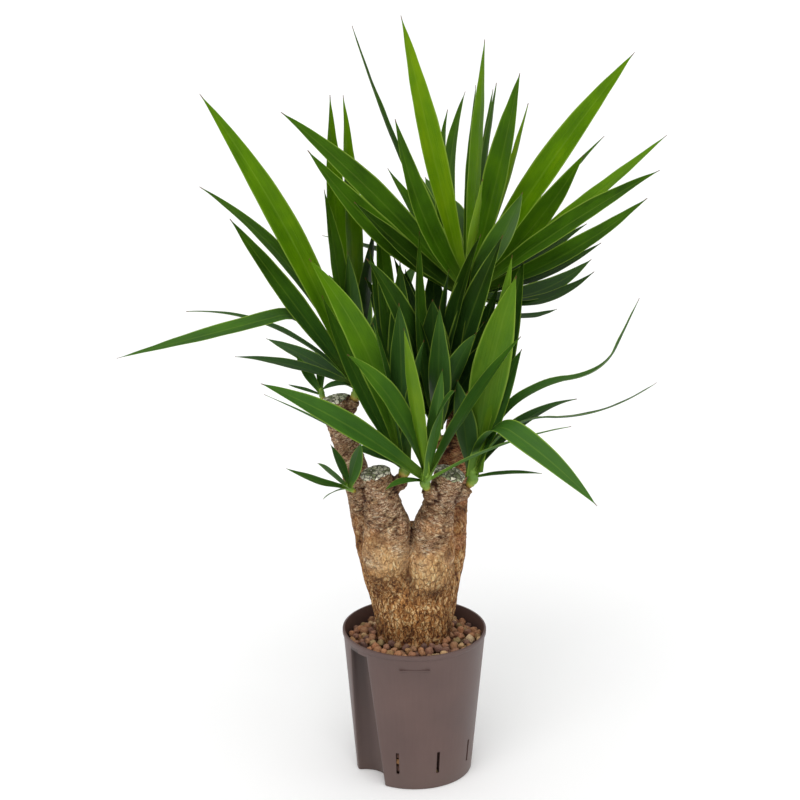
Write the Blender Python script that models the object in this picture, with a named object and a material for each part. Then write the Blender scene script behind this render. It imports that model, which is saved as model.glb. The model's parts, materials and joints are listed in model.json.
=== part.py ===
# Potted yucca: a short trunk with four sawn and sealed or living arms and eight leafy
# heads, standing in a plastic culture pot filled with expanded clay pebbles.
# Metres, +Z up. The origin is the centre of the pot's flat base, +X is to the plant's
# right and +Y is to its back.
import math
import random

import bmesh
import bpy
from mathutils import Matrix, Vector
from mathutils.bvhtree import BVHTree

# Driving dimensions: the pot
POT_HEIGHT = 0.190
POT_RIM_RADIUS = 0.090
POT_BASE_RADIUS = 0.0728
POT_WALL = 0.0018
POT_FLOOR = 0.003
RIM_BAND_HEIGHT = 0.006
RIM_BAND_STEP = 0.0012
POT_SIDES = 48
GAUGE_ANGLE = 217.0
GAUGE_LOW = (0.0780, 0.0290)
GAUGE_HIGH = (0.0878, 0.0153)
GAUGE_TAPER_HEIGHT = 0.175
GAUGE_TOP = 0.178
GAUGE_SIDES = 32
SLOT_COUNT = 8
SLOT_SIZE = (0.004, 0.030)
SLOT_BOTTOM = 0.021
SLOT_FIRST_ANGLE = -106.0
SLOT_STEP_ANGLE = 39.0
FLOOR_SLOTS = 6
FLOOR_SLOT_SIZE = (0.018, 0.003)
FLOOR_SLOT_RADIUS = 0.045
MARK_WIDTH = 0.038
MARK_DROP = 0.020
MARK_SECTION = (0.0016, 0.0012)

# Driving dimensions: the pebbles
PEBBLE_LEVEL_WALL = 0.176
PEBBLE_LEVEL_TRUNK = 0.185
PEBBLE_COUNT = 60
PEBBLE_RADIUS = (0.0056, 0.0090)
PEBBLE_SEED = 21
GOLDEN_ANGLE = 137.508

# Driving dimensions: the trunk and the heads
GAP = 0.0003
TRUNK_CENTRE = (0.0, 0.008)
TRUNK_PROFILE = ((0.066, 0.0440), (0.116, 0.0460), (0.188, 0.0480), (0.218, 0.0502), (0.250, 0.0512),
                 (0.276, 0.0470), (0.302, 0.0340), (0.324, 0.0160))
TRUNK_SIDES = 20
ARM_SIDES = 14
LEAF_THICKNESS = 0.0020
LEAF_STEPS = 6
# The exact solver leaves open edges where many blades meet in one stem
LEAF_SOLVER = "MANIFOLD"
LEAN_STEP = 0.012
LEAN_TRIES = 8
CLEARANCE = 0.0012


def mm(*values):
    return tuple(value * 0.001 for value in values)


# Arms of the trunk, from the crotch to the cut top: x, y, z and radius, in millimetres
ARMS = {
    "front_left": (mm(-26, -6, 242, 26), mm(-33, -20, 274, 28), mm(-35, -25, 300, 29.5),
                   mm(-35, -29, 338, 26.5), mm(-41, -31, 378, 21), mm(-48, -33, 410, 18)),
    "front_right": (mm(11, -4, 236, 28), mm(17, -18, 270, 30), mm(20, -21, 300, 29), mm(24, -25, 339, 21.5),
                    mm(33, -28, 377, 18), mm(43, -30, 408, 19)),
    "back_left": (mm(-20, 12, 216, 32), mm(-35, 21, 250, 28), mm(-46, 30, 280, 25), mm(-56, 38, 315, 22),
                  mm(-65, 43, 350, 19), mm(-76, 48, 388, 17), mm(-86, 50, 421, 16), mm(-92, 51, 446, 18),
                  mm(-99.5, 52, 474, 18.2)),
    "back_right": (mm(18, 13, 216, 34), mm(29, 21, 250, 29), mm(36, 30, 282, 28), mm(39, 37, 316, 27),
                   mm(42, 42, 350, 25), mm(47, 46, 388, 20), mm(53, 49, 426, 16), mm(59, 52, 496, 13.5),
                   mm(64, 54, 556, 13), mm(64, 54, 586, 13)),
}
WAX_ARMS = ("front_left", "front_right", "back_left")
WAX_THICKNESS = 0.0030
WAX_SIDES = 16


def blade(azimuth, elevation, reach, width, bow=0.0, roll=0.0, twist=0.0, sway=0.0, fold=None):
    # One leaf. The first three place its tip from the heart of its head (degrees from
    # +X, degrees above level, millimetres). bow and sway move its middle up and aside by
    # a share of its length, roll and twist turn the blade about its midrib, and fold is
    # a second stretch past a knee: azimuth, elevation, reach, the knee's rounding, bow.
    return dict(azimuth=azimuth, elevation=elevation, reach=reach, width=width, bow=bow,
                roll=roll, twist=twist, sway=sway, fold=fold)


# Heads of leaves. knob: where the branch stub starts inside its arm, and its radius.
# foot: the stub's flat end. rise: the way the stub and the green stem point there.
# hidden: groups of leaves placed by rule, as count, azimuths, elevations and reaches.
HEADS = {
    "head_front_centre": dict(
        knob=mm(30, -31, 379, 9), foot=mm(16, -46, 392), rise=(-0.35, -0.45, 0.82),
        heart=mm(14, -53, 414), stem=0.0080, leaves=[
            blade(-150, -8, 58, 14, 0.12, 10),
            blade(-176, 29, 222, 22, 0.02, -20),
            blade(2, 19, 184, 26, 0.05, 20),
            blade(-169, 33, 238, 34, 0.04, 42),
            blade(-4, 58, 210, 34, 0.03, -25),
            blade(-152, 58, 200, 36, 0.08, 55),
            blade(-73, 53, 180, 34, 0.10, -60),
            blade(-110, 69, 225, 34, 0.00, 20),
            blade(-60, 76, 150, 22, 0.00, 10)],
        hidden=()),
    "head_front_right": dict(
        knob=mm(40, -28, 376, 9), foot=mm(64, -24, 387), rise=(0.60, 0.10, 0.79),
        heart=mm(71, -23, 408), stem=0.0085, leaves=[
            blade(-4, -1, 84, 14, 0.04, 0),
            blade(33, 22, 168, 30, 0.12, 5),
            blade(13, 40, 100, 20, 0.12, 20, fold=(32, 3, 186, 25, -0.09)),
            blade(7, 36, 196, 30, 0.21, -24, 60, fold=(22, 64, 104, 40, 0.0)),
            blade(-52, 53, 92, 34, 0.14, -15, fold=(-36, -28, 152, 12, 0.04)),
            blade(39, 73, 266, 42, -0.003, -20),
            blade(-37, 77, 265, 46, 0.03, 59),
            blade(-30, 80, 285, 22, 0.00, 70)],
        hidden=((1, (58, 66), (54, 60), (190, 215)),)),
    "head_front_left": dict(
        knob=mm(-38, -31, 388, 9), foot=mm(-15, -30, 403), rise=(0.35, 0.0, 0.94),
        heart=mm(-13, -30, 428), stem=0.0080, leaves=[
            blade(162, 2, 66, 22, 0.14, 30),
            blade(146, 20, 72, 26, 0.05, 35),
            blade(174, 64, 225, 34, -0.02, 31),
            blade(-165, 66, 284, 38, 0.06, 76),
            blade(129, 75, 256, 38, 0.01, -16),
            blade(115, 76, 325, 32, -0.01, -18),
            blade(97, 80, 240, 34, -0.03, 5)],
        hidden=()),
    "head_low_left": dict(
        knob=mm(-50, -32, 380, 7), foot=mm(-72, -35, 385), rise=(-0.80, -0.15, 0.58),
        heart=mm(-83, -38, 393), stem=0.0045, leaves=[
            blade(138, -34, 48, 10, 0.08, 5),
            blade(-159, 24, 84, 20, -0.04, 14),
            blade(126, 53, 56, 18, 0.05, -20),
            blade(-119, 38, 86, 22, 0.00, 40),
            blade(-65, 58, 84, 20, 0.00, 70)],
        hidden=()),
    "head_middle": dict(
        knob=mm(46, 46, 412, 9), foot=mm(29, 35, 428), rise=(-0.45, -0.35, 0.82),
        heart=mm(26, 31, 451), stem=0.0080, leaves=[
            blade(-72, 48, 215, 36, 0.06, -13),
            blade(-89, 58, 220, 32, -0.08, 30),
            blade(-15, 67, 200, 33, -0.02, -57),
            blade(-138, 64, 255, 38, 0.06, 81),
            blade(-58, 70, 280, 42, 0.05, -75),
            blade(-115, 79, 262, 34, -0.08, 92),
            blade(115, 63, 195, 40, -0.04, 5),
            blade(140, 54, 185, 40, 0.0, 11),
            blade(92, 66, 205, 38, 0.0, -3)],
        hidden=((3, (70, 112), (22, 56), (220, 270)),)),
    "head_top": dict(
        knob=None, foot=mm(64, 54, 586), rise=(0.0, 0.0, 1.0),
        heart=mm(64, 52, 622), stem=0.0115, leaves=[
            blade(52, -22, 210, 18, -0.08, -14),
            blade(32, -4, 192, 28, -0.13, -5),
            blade(43, -3, 222, 32, -0.10, -18),
            blade(26, 9, 190, 30, -0.06, -1),
            blade(-137, 37, 232, 34, -0.02, 53),
            blade(3, 26, 242, 34, -0.05, -23),
            blade(32, 16, 185, 26, -0.02, -5),
            blade(-27, 35, 300, 34, 0.02, -44),
            blade(-152, 42, 288, 40, -0.045, 58),
            blade(-171, 44, 316, 37, 0.015, 46),
            blade(18, 33, 308, 32, -0.01, -7),
            blade(126, 34, 200, 32, 0.00, -18),
            blade(62, 23, 215, 30, 0.00, 29),
            blade(31, 39, 256, 30, 0.01, 12),
            blade(-70, 43, 232, 36, -0.02, 4),
            blade(4, 49, 212, 36, -0.04, -42),
            blade(-86, 46, 245, 26, 0.00, -55),
            blade(-129, 59, 270, 42, -0.06, 80),
            blade(99, 52, 235, 32, -0.05, 67, sway=-0.06),
            blade(91, 65, 240, 34, -0.05, 59, sway=-0.08),
            blade(84, 65, 248, 28, 0.00, 60),
            blade(-23, 56, 366, 38, 0.02, -67),
            blade(70, 65, 252, 30, 0.00, 53),
            blade(76, 57, 254, 28, 0.00, 57),
            blade(164, 65, 343, 20, -0.028, 0),
            blade(36, 67, 232, 28, -0.03, 21),
            blade(-166, 76, 345, 34, 0.0, 67),
            blade(-47, 73, 288, 42, -0.01, -85),
            blade(28, 86, 301, 34, 0.00, 2)],
        hidden=((5, (62, 122), (5, 48), (240, 300)), (3, (118, 142), (0, 22), (220, 260)))),
    "head_back_left": dict(
        knob=mm(-92, 50, 458, 9), foot=mm(-75, 47, 475), rise=(0.45, -0.05, 0.89),
        heart=mm(-70, 48, 501), stem=0.0080, leaves=[
            blade(-146, -4, 54, 14, 0.15, 10),
            blade(155, 2, 172, 26, 0.045, 4),
            blade(128, 1, 196, 28, 0.02, 6),
            blade(159, 15, 240, 22, 0.12, -9),
            blade(-160, 48, 128, 26, 0.00, 20, fold=(-176, -14, 218, 14, 0.0)),
            blade(-159, 54, 270, 34, 0.02, 56),
            blade(168, 50, 306, 34, 0.09, 11),
            blade(-171, 63, 407, 38, 0.02, 68),
            blade(-123, 75, 266, 34, 0.00, 90),
            blade(126, 81, 352, 30, -0.05, -24),
            blade(-128, 86, 366, 32, -0.02, 82)],
        hidden=((4, (66, 118), (14, 56), (210, 270)),)),
    "head_outer_left": dict(
        knob=mm(-99, 55, 450, 6), foot=mm(-113, 72, 466), rise=(-0.35, 0.45, 0.82),
        heart=mm(-116, 77, 476), stem=0.0040, leaves=[
            blade(144, -2, 52, 11, 0.00, -3),
            blade(150, 48, 56, 13, 0.00, 40),
            blade(100, 76, 52, 13, 0.00, 30)],
        hidden=()),
}
HIDDEN_SEED = 7

# Width of a blade along its length, and how far its edges stand above the midrib
BLADE_OUTLINE = ((0.0, 0.42), (0.12, 0.48), (0.28, 0.78), (0.42, 0.97), (0.55, 1.0), (0.72, 0.78), (0.87, 0.40),
                 (1.0, 0.0))
BLADE_TROUGH = ((0.00, 0.70), (0.15, 0.45), (0.40, 0.22), (0.80, 0.20), (1.00, 0.30))


def along(table, t):
    # Straight-line reading of a short table of (place, value) pairs
    for (t0, v0), (t1, v1) in zip(table, table[1:]):
        if t <= t1:
            return v0 + (v1 - v0) * (t - t0) / (t1 - t0)
    return table[-1][1]


def direction(azimuth, elevation):
    a, e = math.radians(azimuth), math.radians(elevation)
    return Vector((math.cos(a) * math.cos(e), math.sin(a) * math.cos(e), math.sin(e)))


def bezier(a, b, c, t):
    return a * (1 - t) ** 2 + b * (2 * t * (1 - t)) + c * t ** 2


def blade_line(root, heart, leaf, lean):
    # Points of the midrib, evenly placed by parameter, as a function of t from 0 to 1
    reach = leaf["reach"] * 0.001
    tip = heart + direction(leaf["azimuth"], leaf["elevation"]) * reach
    side = Vector((math.sin(math.radians(leaf["azimuth"])), -math.cos(math.radians(leaf["azimuth"])), 0))
    if not leaf["fold"]:
        tip += lean
    rise = side.cross((tip - root).normalized()).normalized()
    middle = (root + tip) / 2 + (rise * leaf["bow"] + side * leaf["sway"]) * 2 * (tip - root).length
    if not leaf["fold"]:
        return lambda t: bezier(root, middle, tip, t)
    azimuth, elevation, onward, rounding, bow = leaf["fold"]
    knee, end = tip, tip + direction(azimuth, elevation) * onward * 0.001 + lean
    past = (knee + end) / 2 + Vector((0, 0, 2 * bow * (end - knee).length))
    share = (knee - root).length / ((knee - root).length + (end - knee).length)
    ease = rounding * 0.001 / ((knee - root).length + (end - knee).length)

    def two_stretches(t):
        if t < share - ease:
            return bezier(root, middle, knee, t / share)
        if t > share + ease:
            return bezier(knee, past, end, (t - share) / (1 - share))
        before = bezier(root, middle, knee, (share - ease) / share)
        after = bezier(knee, past, end, ease / (1 - share))
        return bezier(before, knee, after, (t - share + ease) / (2 * ease))
    return two_stretches


def blade_mesh(root, heart, leaf, lean, grow=0.0):
    # A thin closed blade with a V section: two edges, and the midrib's top and bottom
    line = blade_line(root, heart, leaf, lean)
    level = Vector((math.sin(math.radians(leaf["azimuth"])), -math.cos(math.radians(leaf["azimuth"])), 0))
    stops = [i / LEAF_STEPS for i in range(LEAF_STEPS + 1)]
    if leaf["fold"]:
        stops = [i / (LEAF_STEPS + 3) for i in range(LEAF_STEPS + 4)]
    verts, faces = [], []
    for t in stops[:-1]:
        point = line(t)
        tangent = (line(min(t + 0.02, 1)) - line(max(t - 0.02, 0))).normalized()
        side = (level - tangent * level.dot(tangent)).normalized()
        side = Matrix.Rotation(-math.radians(leaf["roll"] + leaf["twist"] * t), 3, tangent) @ side
        up = side.cross(tangent)
        half = along(BLADE_OUTLINE, t) * leaf["width"] * 0.0005 + grow
        trough = up * (half * along(BLADE_TROUGH, t))
        thick = up * (LEAF_THICKNESS * (1 - 0.4 * t) / 2 + grow)
        verts += [point - side * half + trough, point - thick, point + side * half + trough, point + thick]
    tip = len(verts)
    verts.append(line(1.0))
    faces += [(0, 1, 2), (0, 2, 3)]
    for ring in range(0, tip - 4, 4):
        for k in (0, 2):
            edge, low, high = ring + k, ring + (1 if k == 0 else 3), ring + (3 if k == 0 else 1)
            faces += [(edge, edge + 4, low + 4), (edge, low + 4, low)]
            faces += [(edge, high + 4, edge + 4), (edge, high, high + 4)]
    last = tip - 4
    faces += [(last + k, tip, last + (k + 1) % 4) for k in range(4)]
    return verts, faces


def stacked_rings(rings):
    # A closed solid from rings of the same number of points, lowest first
    sides = len(rings[0])
    verts = [point for ring in rings for point in ring]
    faces = []
    for ring in range(0, len(verts) - sides, sides):
        for k in range(sides):
            after = (k + 1) % sides
            faces.append((ring + k, ring + after, ring + sides + after, ring + sides + k))
    faces.append(tuple(range(sides - 1, -1, -1)))
    faces.append(tuple(range(len(verts) - sides, len(verts))))
    return verts, faces


def level_ring(x, y, z, radius, sides):
    turns = [2 * math.pi * k / sides for k in range(sides)]
    return [Vector((x + radius * math.cos(turn), y + radius * math.sin(turn), z)) for turn in turns]


def turned_mesh(profile, sides, centre=(0, 0)):
    # A closed solid turned about an upright axis; the profile gives (z, radius)
    return stacked_rings([level_ring(*centre, z, radius, sides) for z, radius in profile])


def tube_mesh(stations, sides):
    # A closed tube through stations of (x, y, z, radius), its ends square to its line
    points = [Vector(station[:3]) for station in stations]
    rings, side = [], None
    for i, point in enumerate(points):
        tangent = (points[min(i + 1, len(points) - 1)] - points[max(i - 1, 0)]).normalized()
        side = side or tangent.orthogonal()
        side = (side - tangent * side.dot(tangent)).normalized()
        other = tangent.cross(side)
        turns = [2 * math.pi * k / sides for k in range(sides)]
        radius = stations[i][3]
        rings.append([point + (side * math.cos(turn) + other * math.sin(turn)) * radius for turn in turns])
    return stacked_rings(rings)


def new_object(name, verts, faces, material=None, collection=None):
    mesh = bpy.data.meshes.new(name)
    mesh.from_pydata([tuple(v) for v in verts], [], faces)
    mesh.update()
    item = bpy.data.objects.new(name, mesh)
    (collection or bpy.context.scene.collection).objects.link(item)
    if material:
        mesh.materials.append(material)
    return item


def plain_material(name, colour, roughness):
    material = bpy.data.materials.new(name)
    material.use_nodes = True
    shader = material.node_tree.nodes["Principled BSDF"]
    shader.inputs["Base Color"].default_value = (*colour, 1.0)
    shader.inputs["Roughness"].default_value = roughness
    shader.inputs["Metallic"].default_value = 0.0
    return material


def apply_modifiers(item):
    # Keeps the evaluated shape and drops the modifiers
    depsgraph = bpy.context.evaluated_depsgraph_get()
    mesh = bpy.data.meshes.new_from_object(item.evaluated_get(depsgraph))
    item.modifiers.clear()
    old = item.data
    item.data = mesh
    mesh.name = item.name
    bpy.data.meshes.remove(old)


def shade_round(item, crease=40):
    # Smooth shading that keeps edges sharper than the crease angle
    item.data.shade_smooth()
    item.data.set_sharp_from_angle(angle=math.radians(crease))


def combine(item, pieces, operation, solver="EXACT"):
    # One Boolean with all the pieces, which are then removed
    group = bpy.data.collections.new(item.name + "_tools")
    bpy.context.scene.collection.children.link(group)
    for name, (verts, faces) in pieces:
        new_object(name, verts, faces, collection=group)
    step = item.modifiers.new(operation.title(), "BOOLEAN")
    step.operation = operation
    step.operand_type = "COLLECTION"
    step.collection = group
    step.solver = solver
    apply_modifiers(item)
    for tool in list(group.objects):
        bpy.data.objects.remove(tool)
    bpy.data.collections.remove(group)


def keep_main_body(item):
    # Drops loose scraps and sealed hollows, so that one closed body is left. Faces count
    # as joined only where they share an edge, because a hollow may touch at a point.
    mesh = bmesh.new()
    mesh.from_mesh(item.data)
    bodies, seen = [], set()
    for start in mesh.faces:
        if start in seen:
            continue
        body, front = {start}, [start]
        while front:
            face = front.pop()
            near = {other for edge in face.edges for other in edge.link_faces} - body
            body |= near
            front += near
        seen |= body
        bodies.append(body)
    bodies.sort(key=len)
    bmesh.ops.delete(mesh, geom=[face for body in bodies[:-1] for face in body], context="FACES")
    mesh.to_mesh(item.data)
    mesh.free()


def box_mesh(size, matrix):
    x, y, z = (value / 2 for value in size)
    outline = ((-x, -y), (x, -y), (x, y), (-x, y))
    corners = [(*point, level) for level in (-z, z) for point in outline]
    faces = [(0, 3, 2, 1), (4, 5, 6, 7), (0, 1, 5, 4), (1, 2, 6, 5), (2, 3, 7, 6), (3, 0, 4, 7)]
    return [matrix @ Vector(corner) for corner in corners], faces


def wall_radius(z):
    # Outer radius of the pot's tapered wall at a height
    neck = POT_RIM_RADIUS - RIM_BAND_STEP
    return POT_BASE_RADIUS + (neck - POT_BASE_RADIUS) * z / (POT_HEIGHT - RIM_BAND_HEIGHT)


def gauge_mesh(extra, top, bottom=-0.010):
    # The tapered round bite that the water gauge's channel takes out of the pot's side
    def at(z):
        share = z / GAUGE_TAPER_HEIGHT
        return (GAUGE_LOW[0] + (GAUGE_HIGH[0] - GAUGE_LOW[0]) * share,
                GAUGE_LOW[1] + (GAUGE_HIGH[1] - GAUGE_LOW[1]) * share + extra)
    turn = math.radians(GAUGE_ANGLE)
    rings = []
    for z in (bottom, top):
        distance, radius = at(z)
        rings.append(level_ring(distance * math.cos(turn), distance * math.sin(turn), z, radius, GAUGE_SIDES))
    return stacked_rings(rings)


def make_pot(material):
    band_foot = POT_HEIGHT - RIM_BAND_HEIGHT
    outside = ((0.0, POT_BASE_RADIUS), (band_foot, wall_radius(band_foot)), (band_foot, POT_RIM_RADIUS),
               (POT_HEIGHT - 0.001, POT_RIM_RADIUS), (POT_HEIGHT, POT_RIM_RADIUS - 0.001))
    over = POT_HEIGHT + 0.010
    inside = ((POT_FLOOR, wall_radius(POT_FLOOR) - POT_WALL), (over, wall_radius(over) - POT_WALL))
    pot = new_object("pot", *turned_mesh(outside, POT_SIDES), material)
    cavity = new_object("cavity", *turned_mesh(inside, POT_SIDES))
    combine(cavity, [("gauge_wall", gauge_mesh(POT_WALL, GAUGE_TOP + POT_WALL))], "DIFFERENCE")
    hollow = [tuple(v.co) for v in cavity.data.vertices], [tuple(p.vertices) for p in cavity.data.polygons]
    bpy.data.objects.remove(cavity)
    cuts = [("hollow", hollow), ("gauge_channel", gauge_mesh(0.0, GAUGE_TOP))]
    for i in range(SLOT_COUNT):
        turn = math.radians(SLOT_FIRST_ANGLE + SLOT_STEP_ANGLE * i)
        middle = SLOT_BOTTOM + SLOT_SIZE[1] / 2
        place = Matrix.Rotation(turn, 4, "Z") @ Matrix.Translation((wall_radius(middle), 0, middle))
        cuts.append(("wall_slot", box_mesh((0.012, SLOT_SIZE[0], SLOT_SIZE[1]), place)))
    for i in range(FLOOR_SLOTS):
        turn = Matrix.Rotation(2 * math.pi * i / FLOOR_SLOTS, 4, "Z")
        place = turn @ Matrix.Translation((FLOOR_SLOT_RADIUS, 0, 0))
        cuts.append(("floor_slot", box_mesh((*FLOOR_SLOT_SIZE, 0.012), place)))
    combine(pot, cuts, "DIFFERENCE")
    height = POT_HEIGHT - MARK_DROP
    place = Matrix.Translation((0, -wall_radius(height) + 0.0002, height))
    combine(pot, [("mark", box_mesh((MARK_WIDTH, *MARK_SECTION), place))], "UNION")
    shade_round(pot)


def trunk_tubes():
    # The arms and the branch stubs that carry the heads
    tubes = [("arm_" + name, tube_mesh(stations, ARM_SIDES)) for name, stations in ARMS.items()]
    for name, head in HEADS.items():
        if head["knob"]:
            *start, radius = head["knob"]
            foot, rise = Vector(head["foot"]), Vector(head["rise"]).normalized()
            bend = foot - rise * radius
            stations = [(*start, radius * 1.15), (*bend, radius * 1.05), (*foot, radius)]
            tubes.append(("stub_" + name, tube_mesh(stations, 10)))
    return tubes


def make_trunk(material):
    trunk = new_object("trunk", *turned_mesh(TRUNK_PROFILE, TRUNK_SIDES, TRUNK_CENTRE), material)
    combine(trunk, trunk_tubes(), "UNION")
    shade_round(trunk)


def make_pebbles(material):
    floor = POT_FLOOR + GAP
    side_gap = POT_WALL + GAP
    top = PEBBLE_LEVEL_WALL - 0.004
    body = ((floor, wall_radius(floor) - side_gap), (top, wall_radius(top) - side_gap),
            (top + 0.006, TRUNK_PROFILE[1][1]))
    pebbles = new_object("clay_pebbles", *turned_mesh(body, POT_SIDES), material)
    rng = random.Random(PEBBLE_SEED)
    stones = []
    inner, outer = TRUNK_PROFILE[2][1] + 0.002, wall_radius(top) - side_gap - 0.0015
    for i in range(PEBBLE_COUNT):
        size = rng.uniform(*PEBBLE_RADIUS)
        share = (i + 0.5) / PEBBLE_COUNT
        out = math.sqrt(inner ** 2 + (outer ** 2 - inner ** 2) * share)
        out = min(out, outer - size)
        turn = i * math.radians(GOLDEN_ANGLE) + rng.uniform(-0.05, 0.05)
        slope = (out - inner) / (outer - inner)
        level = PEBBLE_LEVEL_TRUNK + (PEBBLE_LEVEL_WALL - PEBBLE_LEVEL_TRUNK) * slope
        centre = Vector((TRUNK_CENTRE[0] + out * math.cos(turn), out * math.sin(turn), level - size * 0.45))
        ball = bmesh.new()
        place = Matrix.Translation(centre) @ Matrix.Rotation(rng.uniform(0, math.tau), 4, "X")
        bmesh.ops.create_icosphere(ball, subdivisions=1, radius=size, matrix=place)
        points = [vert.co.copy() for vert in ball.verts]
        stones.append(("pebble", (points, [tuple(vert.index for vert in face.verts) for face in ball.faces])))
        ball.free()
    combine(pebbles, stones, "UNION", LEAF_SOLVER)
    hole = [(z, radius + GAP) for z, radius in TRUNK_PROFILE[:4]]
    hole[0] = (hole[0][0] - GAP, hole[0][1])
    channel = gauge_mesh(POT_WALL + GAP, GAUGE_TOP + POT_WALL + GAP)
    trunk_hole = turned_mesh(hole, TRUNK_SIDES, TRUNK_CENTRE)
    combine(pebbles, [("trunk_hole", trunk_hole), ("gauge_wall", channel)], "DIFFERENCE")
    keep_main_body(pebbles)


def make_wax(name, stations, material):
    # A thin rounded seal on the cut top of an arm
    end, before = Vector(stations[-1][:3]), Vector(stations[-2][:3])
    axis = (end - before).normalized()
    radius = stations[-1][3]
    rings = ((GAP, radius - 0.0002), (WAX_THICKNESS * 0.6, radius), (WAX_THICKNESS, radius * 0.86))
    stations = [(*(end + axis * up), ring_radius) for up, ring_radius in rings]
    shade_round(new_object("wax_cap_" + name, *tube_mesh(stations, WAX_SIDES), material))


def stem_stations(head):
    foot, rise, heart = Vector(head["foot"]), Vector(head["rise"]).normalized(), Vector(head["heart"])
    radius = head["stem"]
    start = foot + rise * GAP
    middle = foot + rise * (heart - foot).length * 0.5
    end = heart + (heart - foot) * 0.35
    return [(*start, radius), (*middle, radius * 1.2), (*heart, radius * 1.15), (*end, radius * 0.6)]


def all_leaves(head):
    # The leaves placed one by one, then those that a rule adds on the hidden side
    leaves = list(head["leaves"])
    rng = random.Random(HIDDEN_SEED)
    for count, azimuths, elevations, reaches in head["hidden"]:
        for i in range(count):
            azimuth = azimuths[0] + (azimuths[1] - azimuths[0]) * (i + rng.uniform(0.2, 0.8)) / count
            leaf = blade(azimuth, rng.uniform(*elevations), rng.uniform(*reaches), rng.uniform(30, 38),
                         rng.uniform(0.02, 0.08), rng.uniform(-35, 35))
            leaf["by_rule"] = True
            leaves.insert(rng.randrange(len(leaves)), leaf)
    return leaves


def lean_ways(leaf):
    # The leaf as it is, then leans of growing size to either side of it
    way = Vector((0, 0.94, -0.33))
    if "by_rule" in leaf:
        turn = math.radians(leaf["azimuth"])
        way = Vector((-math.sin(turn), math.cos(turn), 0))
    steps = [0] + [sign * k for k in range(1, LEAN_TRIES) for sign in (1, -1)]
    return [way * (step * LEAN_STEP) for step in steps]


def grown_heads():
    # Sets every leaf on its stem. A leaf that would cross another head, an arm or a seal
    # leans aside until it passes.
    solids = {"trunk": [BVHTree.FromPolygons(*tube) for _, tube in trunk_tubes()]}
    for name, head in HEADS.items():
        solids[name] = [BVHTree.FromPolygons(*tube_mesh(stem_stations(head), 8))]
    grown = {}
    for name, head in HEADS.items():
        heart, foot = Vector(head["heart"]), Vector(head["foot"])
        leaves = all_leaves(head)
        grown[name] = []
        for i, leaf in enumerate(leaves):
            out = direction(leaf["azimuth"], 0) * head["stem"] * 0.4
            root = foot.lerp(heart, 0.5 + 0.5 * i / len(leaves)) + out
            for lean in lean_ways(leaf):
                tree = BVHTree.FromPolygons(*blade_mesh(root, heart, leaf, lean, CLEARANCE))
                others = [solid for key in solids if key != name for solid in solids[key]]
                if not any(tree.overlap(solid) for solid in others):
                    break
            solids[name].append(tree)
            grown[name].append((root, heart, leaf, lean))
    return grown


def make_head(name, head, leaves, material):
    item = new_object(name, *tube_mesh(stem_stations(head), 10), material)
    combine(item, [("blade", blade_mesh(*leaf)) for leaf in leaves], "UNION", LEAF_SOLVER)
    keep_main_body(item)


def main():
    for item in list(bpy.data.objects):
        bpy.data.objects.remove(item)
    pot_plastic = plain_material("pot_plastic", (0.155, 0.105, 0.095), 0.45)
    fired_clay = plain_material("fired_clay", (0.30, 0.14, 0.07), 0.85)
    bark = plain_material("bark", (0.33, 0.18, 0.08), 0.85)
    wax = plain_material("sealing_wax", (0.32, 0.36, 0.24), 0.5)
    foliage = plain_material("leaf_green", (0.06, 0.16, 0.02), 0.4)
    make_pot(pot_plastic)
    make_pebbles(fired_clay)
    make_trunk(bark)
    for name in WAX_ARMS:
        make_wax(name, ARMS[name], wax)
    grown = grown_heads()
    for name, head in HEADS.items():
        make_head(name, head, grown[name], foliage)


main()
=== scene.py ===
import json
import math
import random

import bmesh
import bpy
import numpy as np
from mathutils import Matrix, Vector, noise
from mathutils.bvhtree import BVHTree

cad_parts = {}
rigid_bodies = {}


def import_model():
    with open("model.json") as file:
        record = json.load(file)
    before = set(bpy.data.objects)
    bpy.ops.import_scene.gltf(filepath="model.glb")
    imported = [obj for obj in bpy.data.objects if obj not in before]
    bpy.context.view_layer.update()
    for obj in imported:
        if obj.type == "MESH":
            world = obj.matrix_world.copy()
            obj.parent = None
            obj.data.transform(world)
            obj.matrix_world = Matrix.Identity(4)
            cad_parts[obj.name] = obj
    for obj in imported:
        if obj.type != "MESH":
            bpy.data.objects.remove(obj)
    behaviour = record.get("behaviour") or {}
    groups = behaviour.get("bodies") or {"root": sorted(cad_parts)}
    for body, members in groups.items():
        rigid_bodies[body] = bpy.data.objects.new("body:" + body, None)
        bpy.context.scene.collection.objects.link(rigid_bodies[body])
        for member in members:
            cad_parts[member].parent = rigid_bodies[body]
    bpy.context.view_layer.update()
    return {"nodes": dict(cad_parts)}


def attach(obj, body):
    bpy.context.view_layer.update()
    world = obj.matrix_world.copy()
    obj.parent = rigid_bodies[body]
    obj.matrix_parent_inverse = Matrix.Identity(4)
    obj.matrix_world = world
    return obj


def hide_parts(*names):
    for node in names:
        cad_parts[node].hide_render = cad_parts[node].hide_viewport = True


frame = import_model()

# Looks of a potted yucca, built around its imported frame. Metres, +Z up, the origin at the
# centre of the pot's base, the camera's side at -Y.
print("frame loaded, nodes:", len(frame["nodes"]))


def hexColour(code):
    # an sRGB hex value as the linear one that shaders take
    shares = [int(code[i:i + 2], 16) / 255 for i in (1, 3, 5)]
    return (*(c / 12.92 if c <= 0.04045 else ((c + 0.055) / 1.055) ** 2.4 for c in shares), 1.0)


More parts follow.
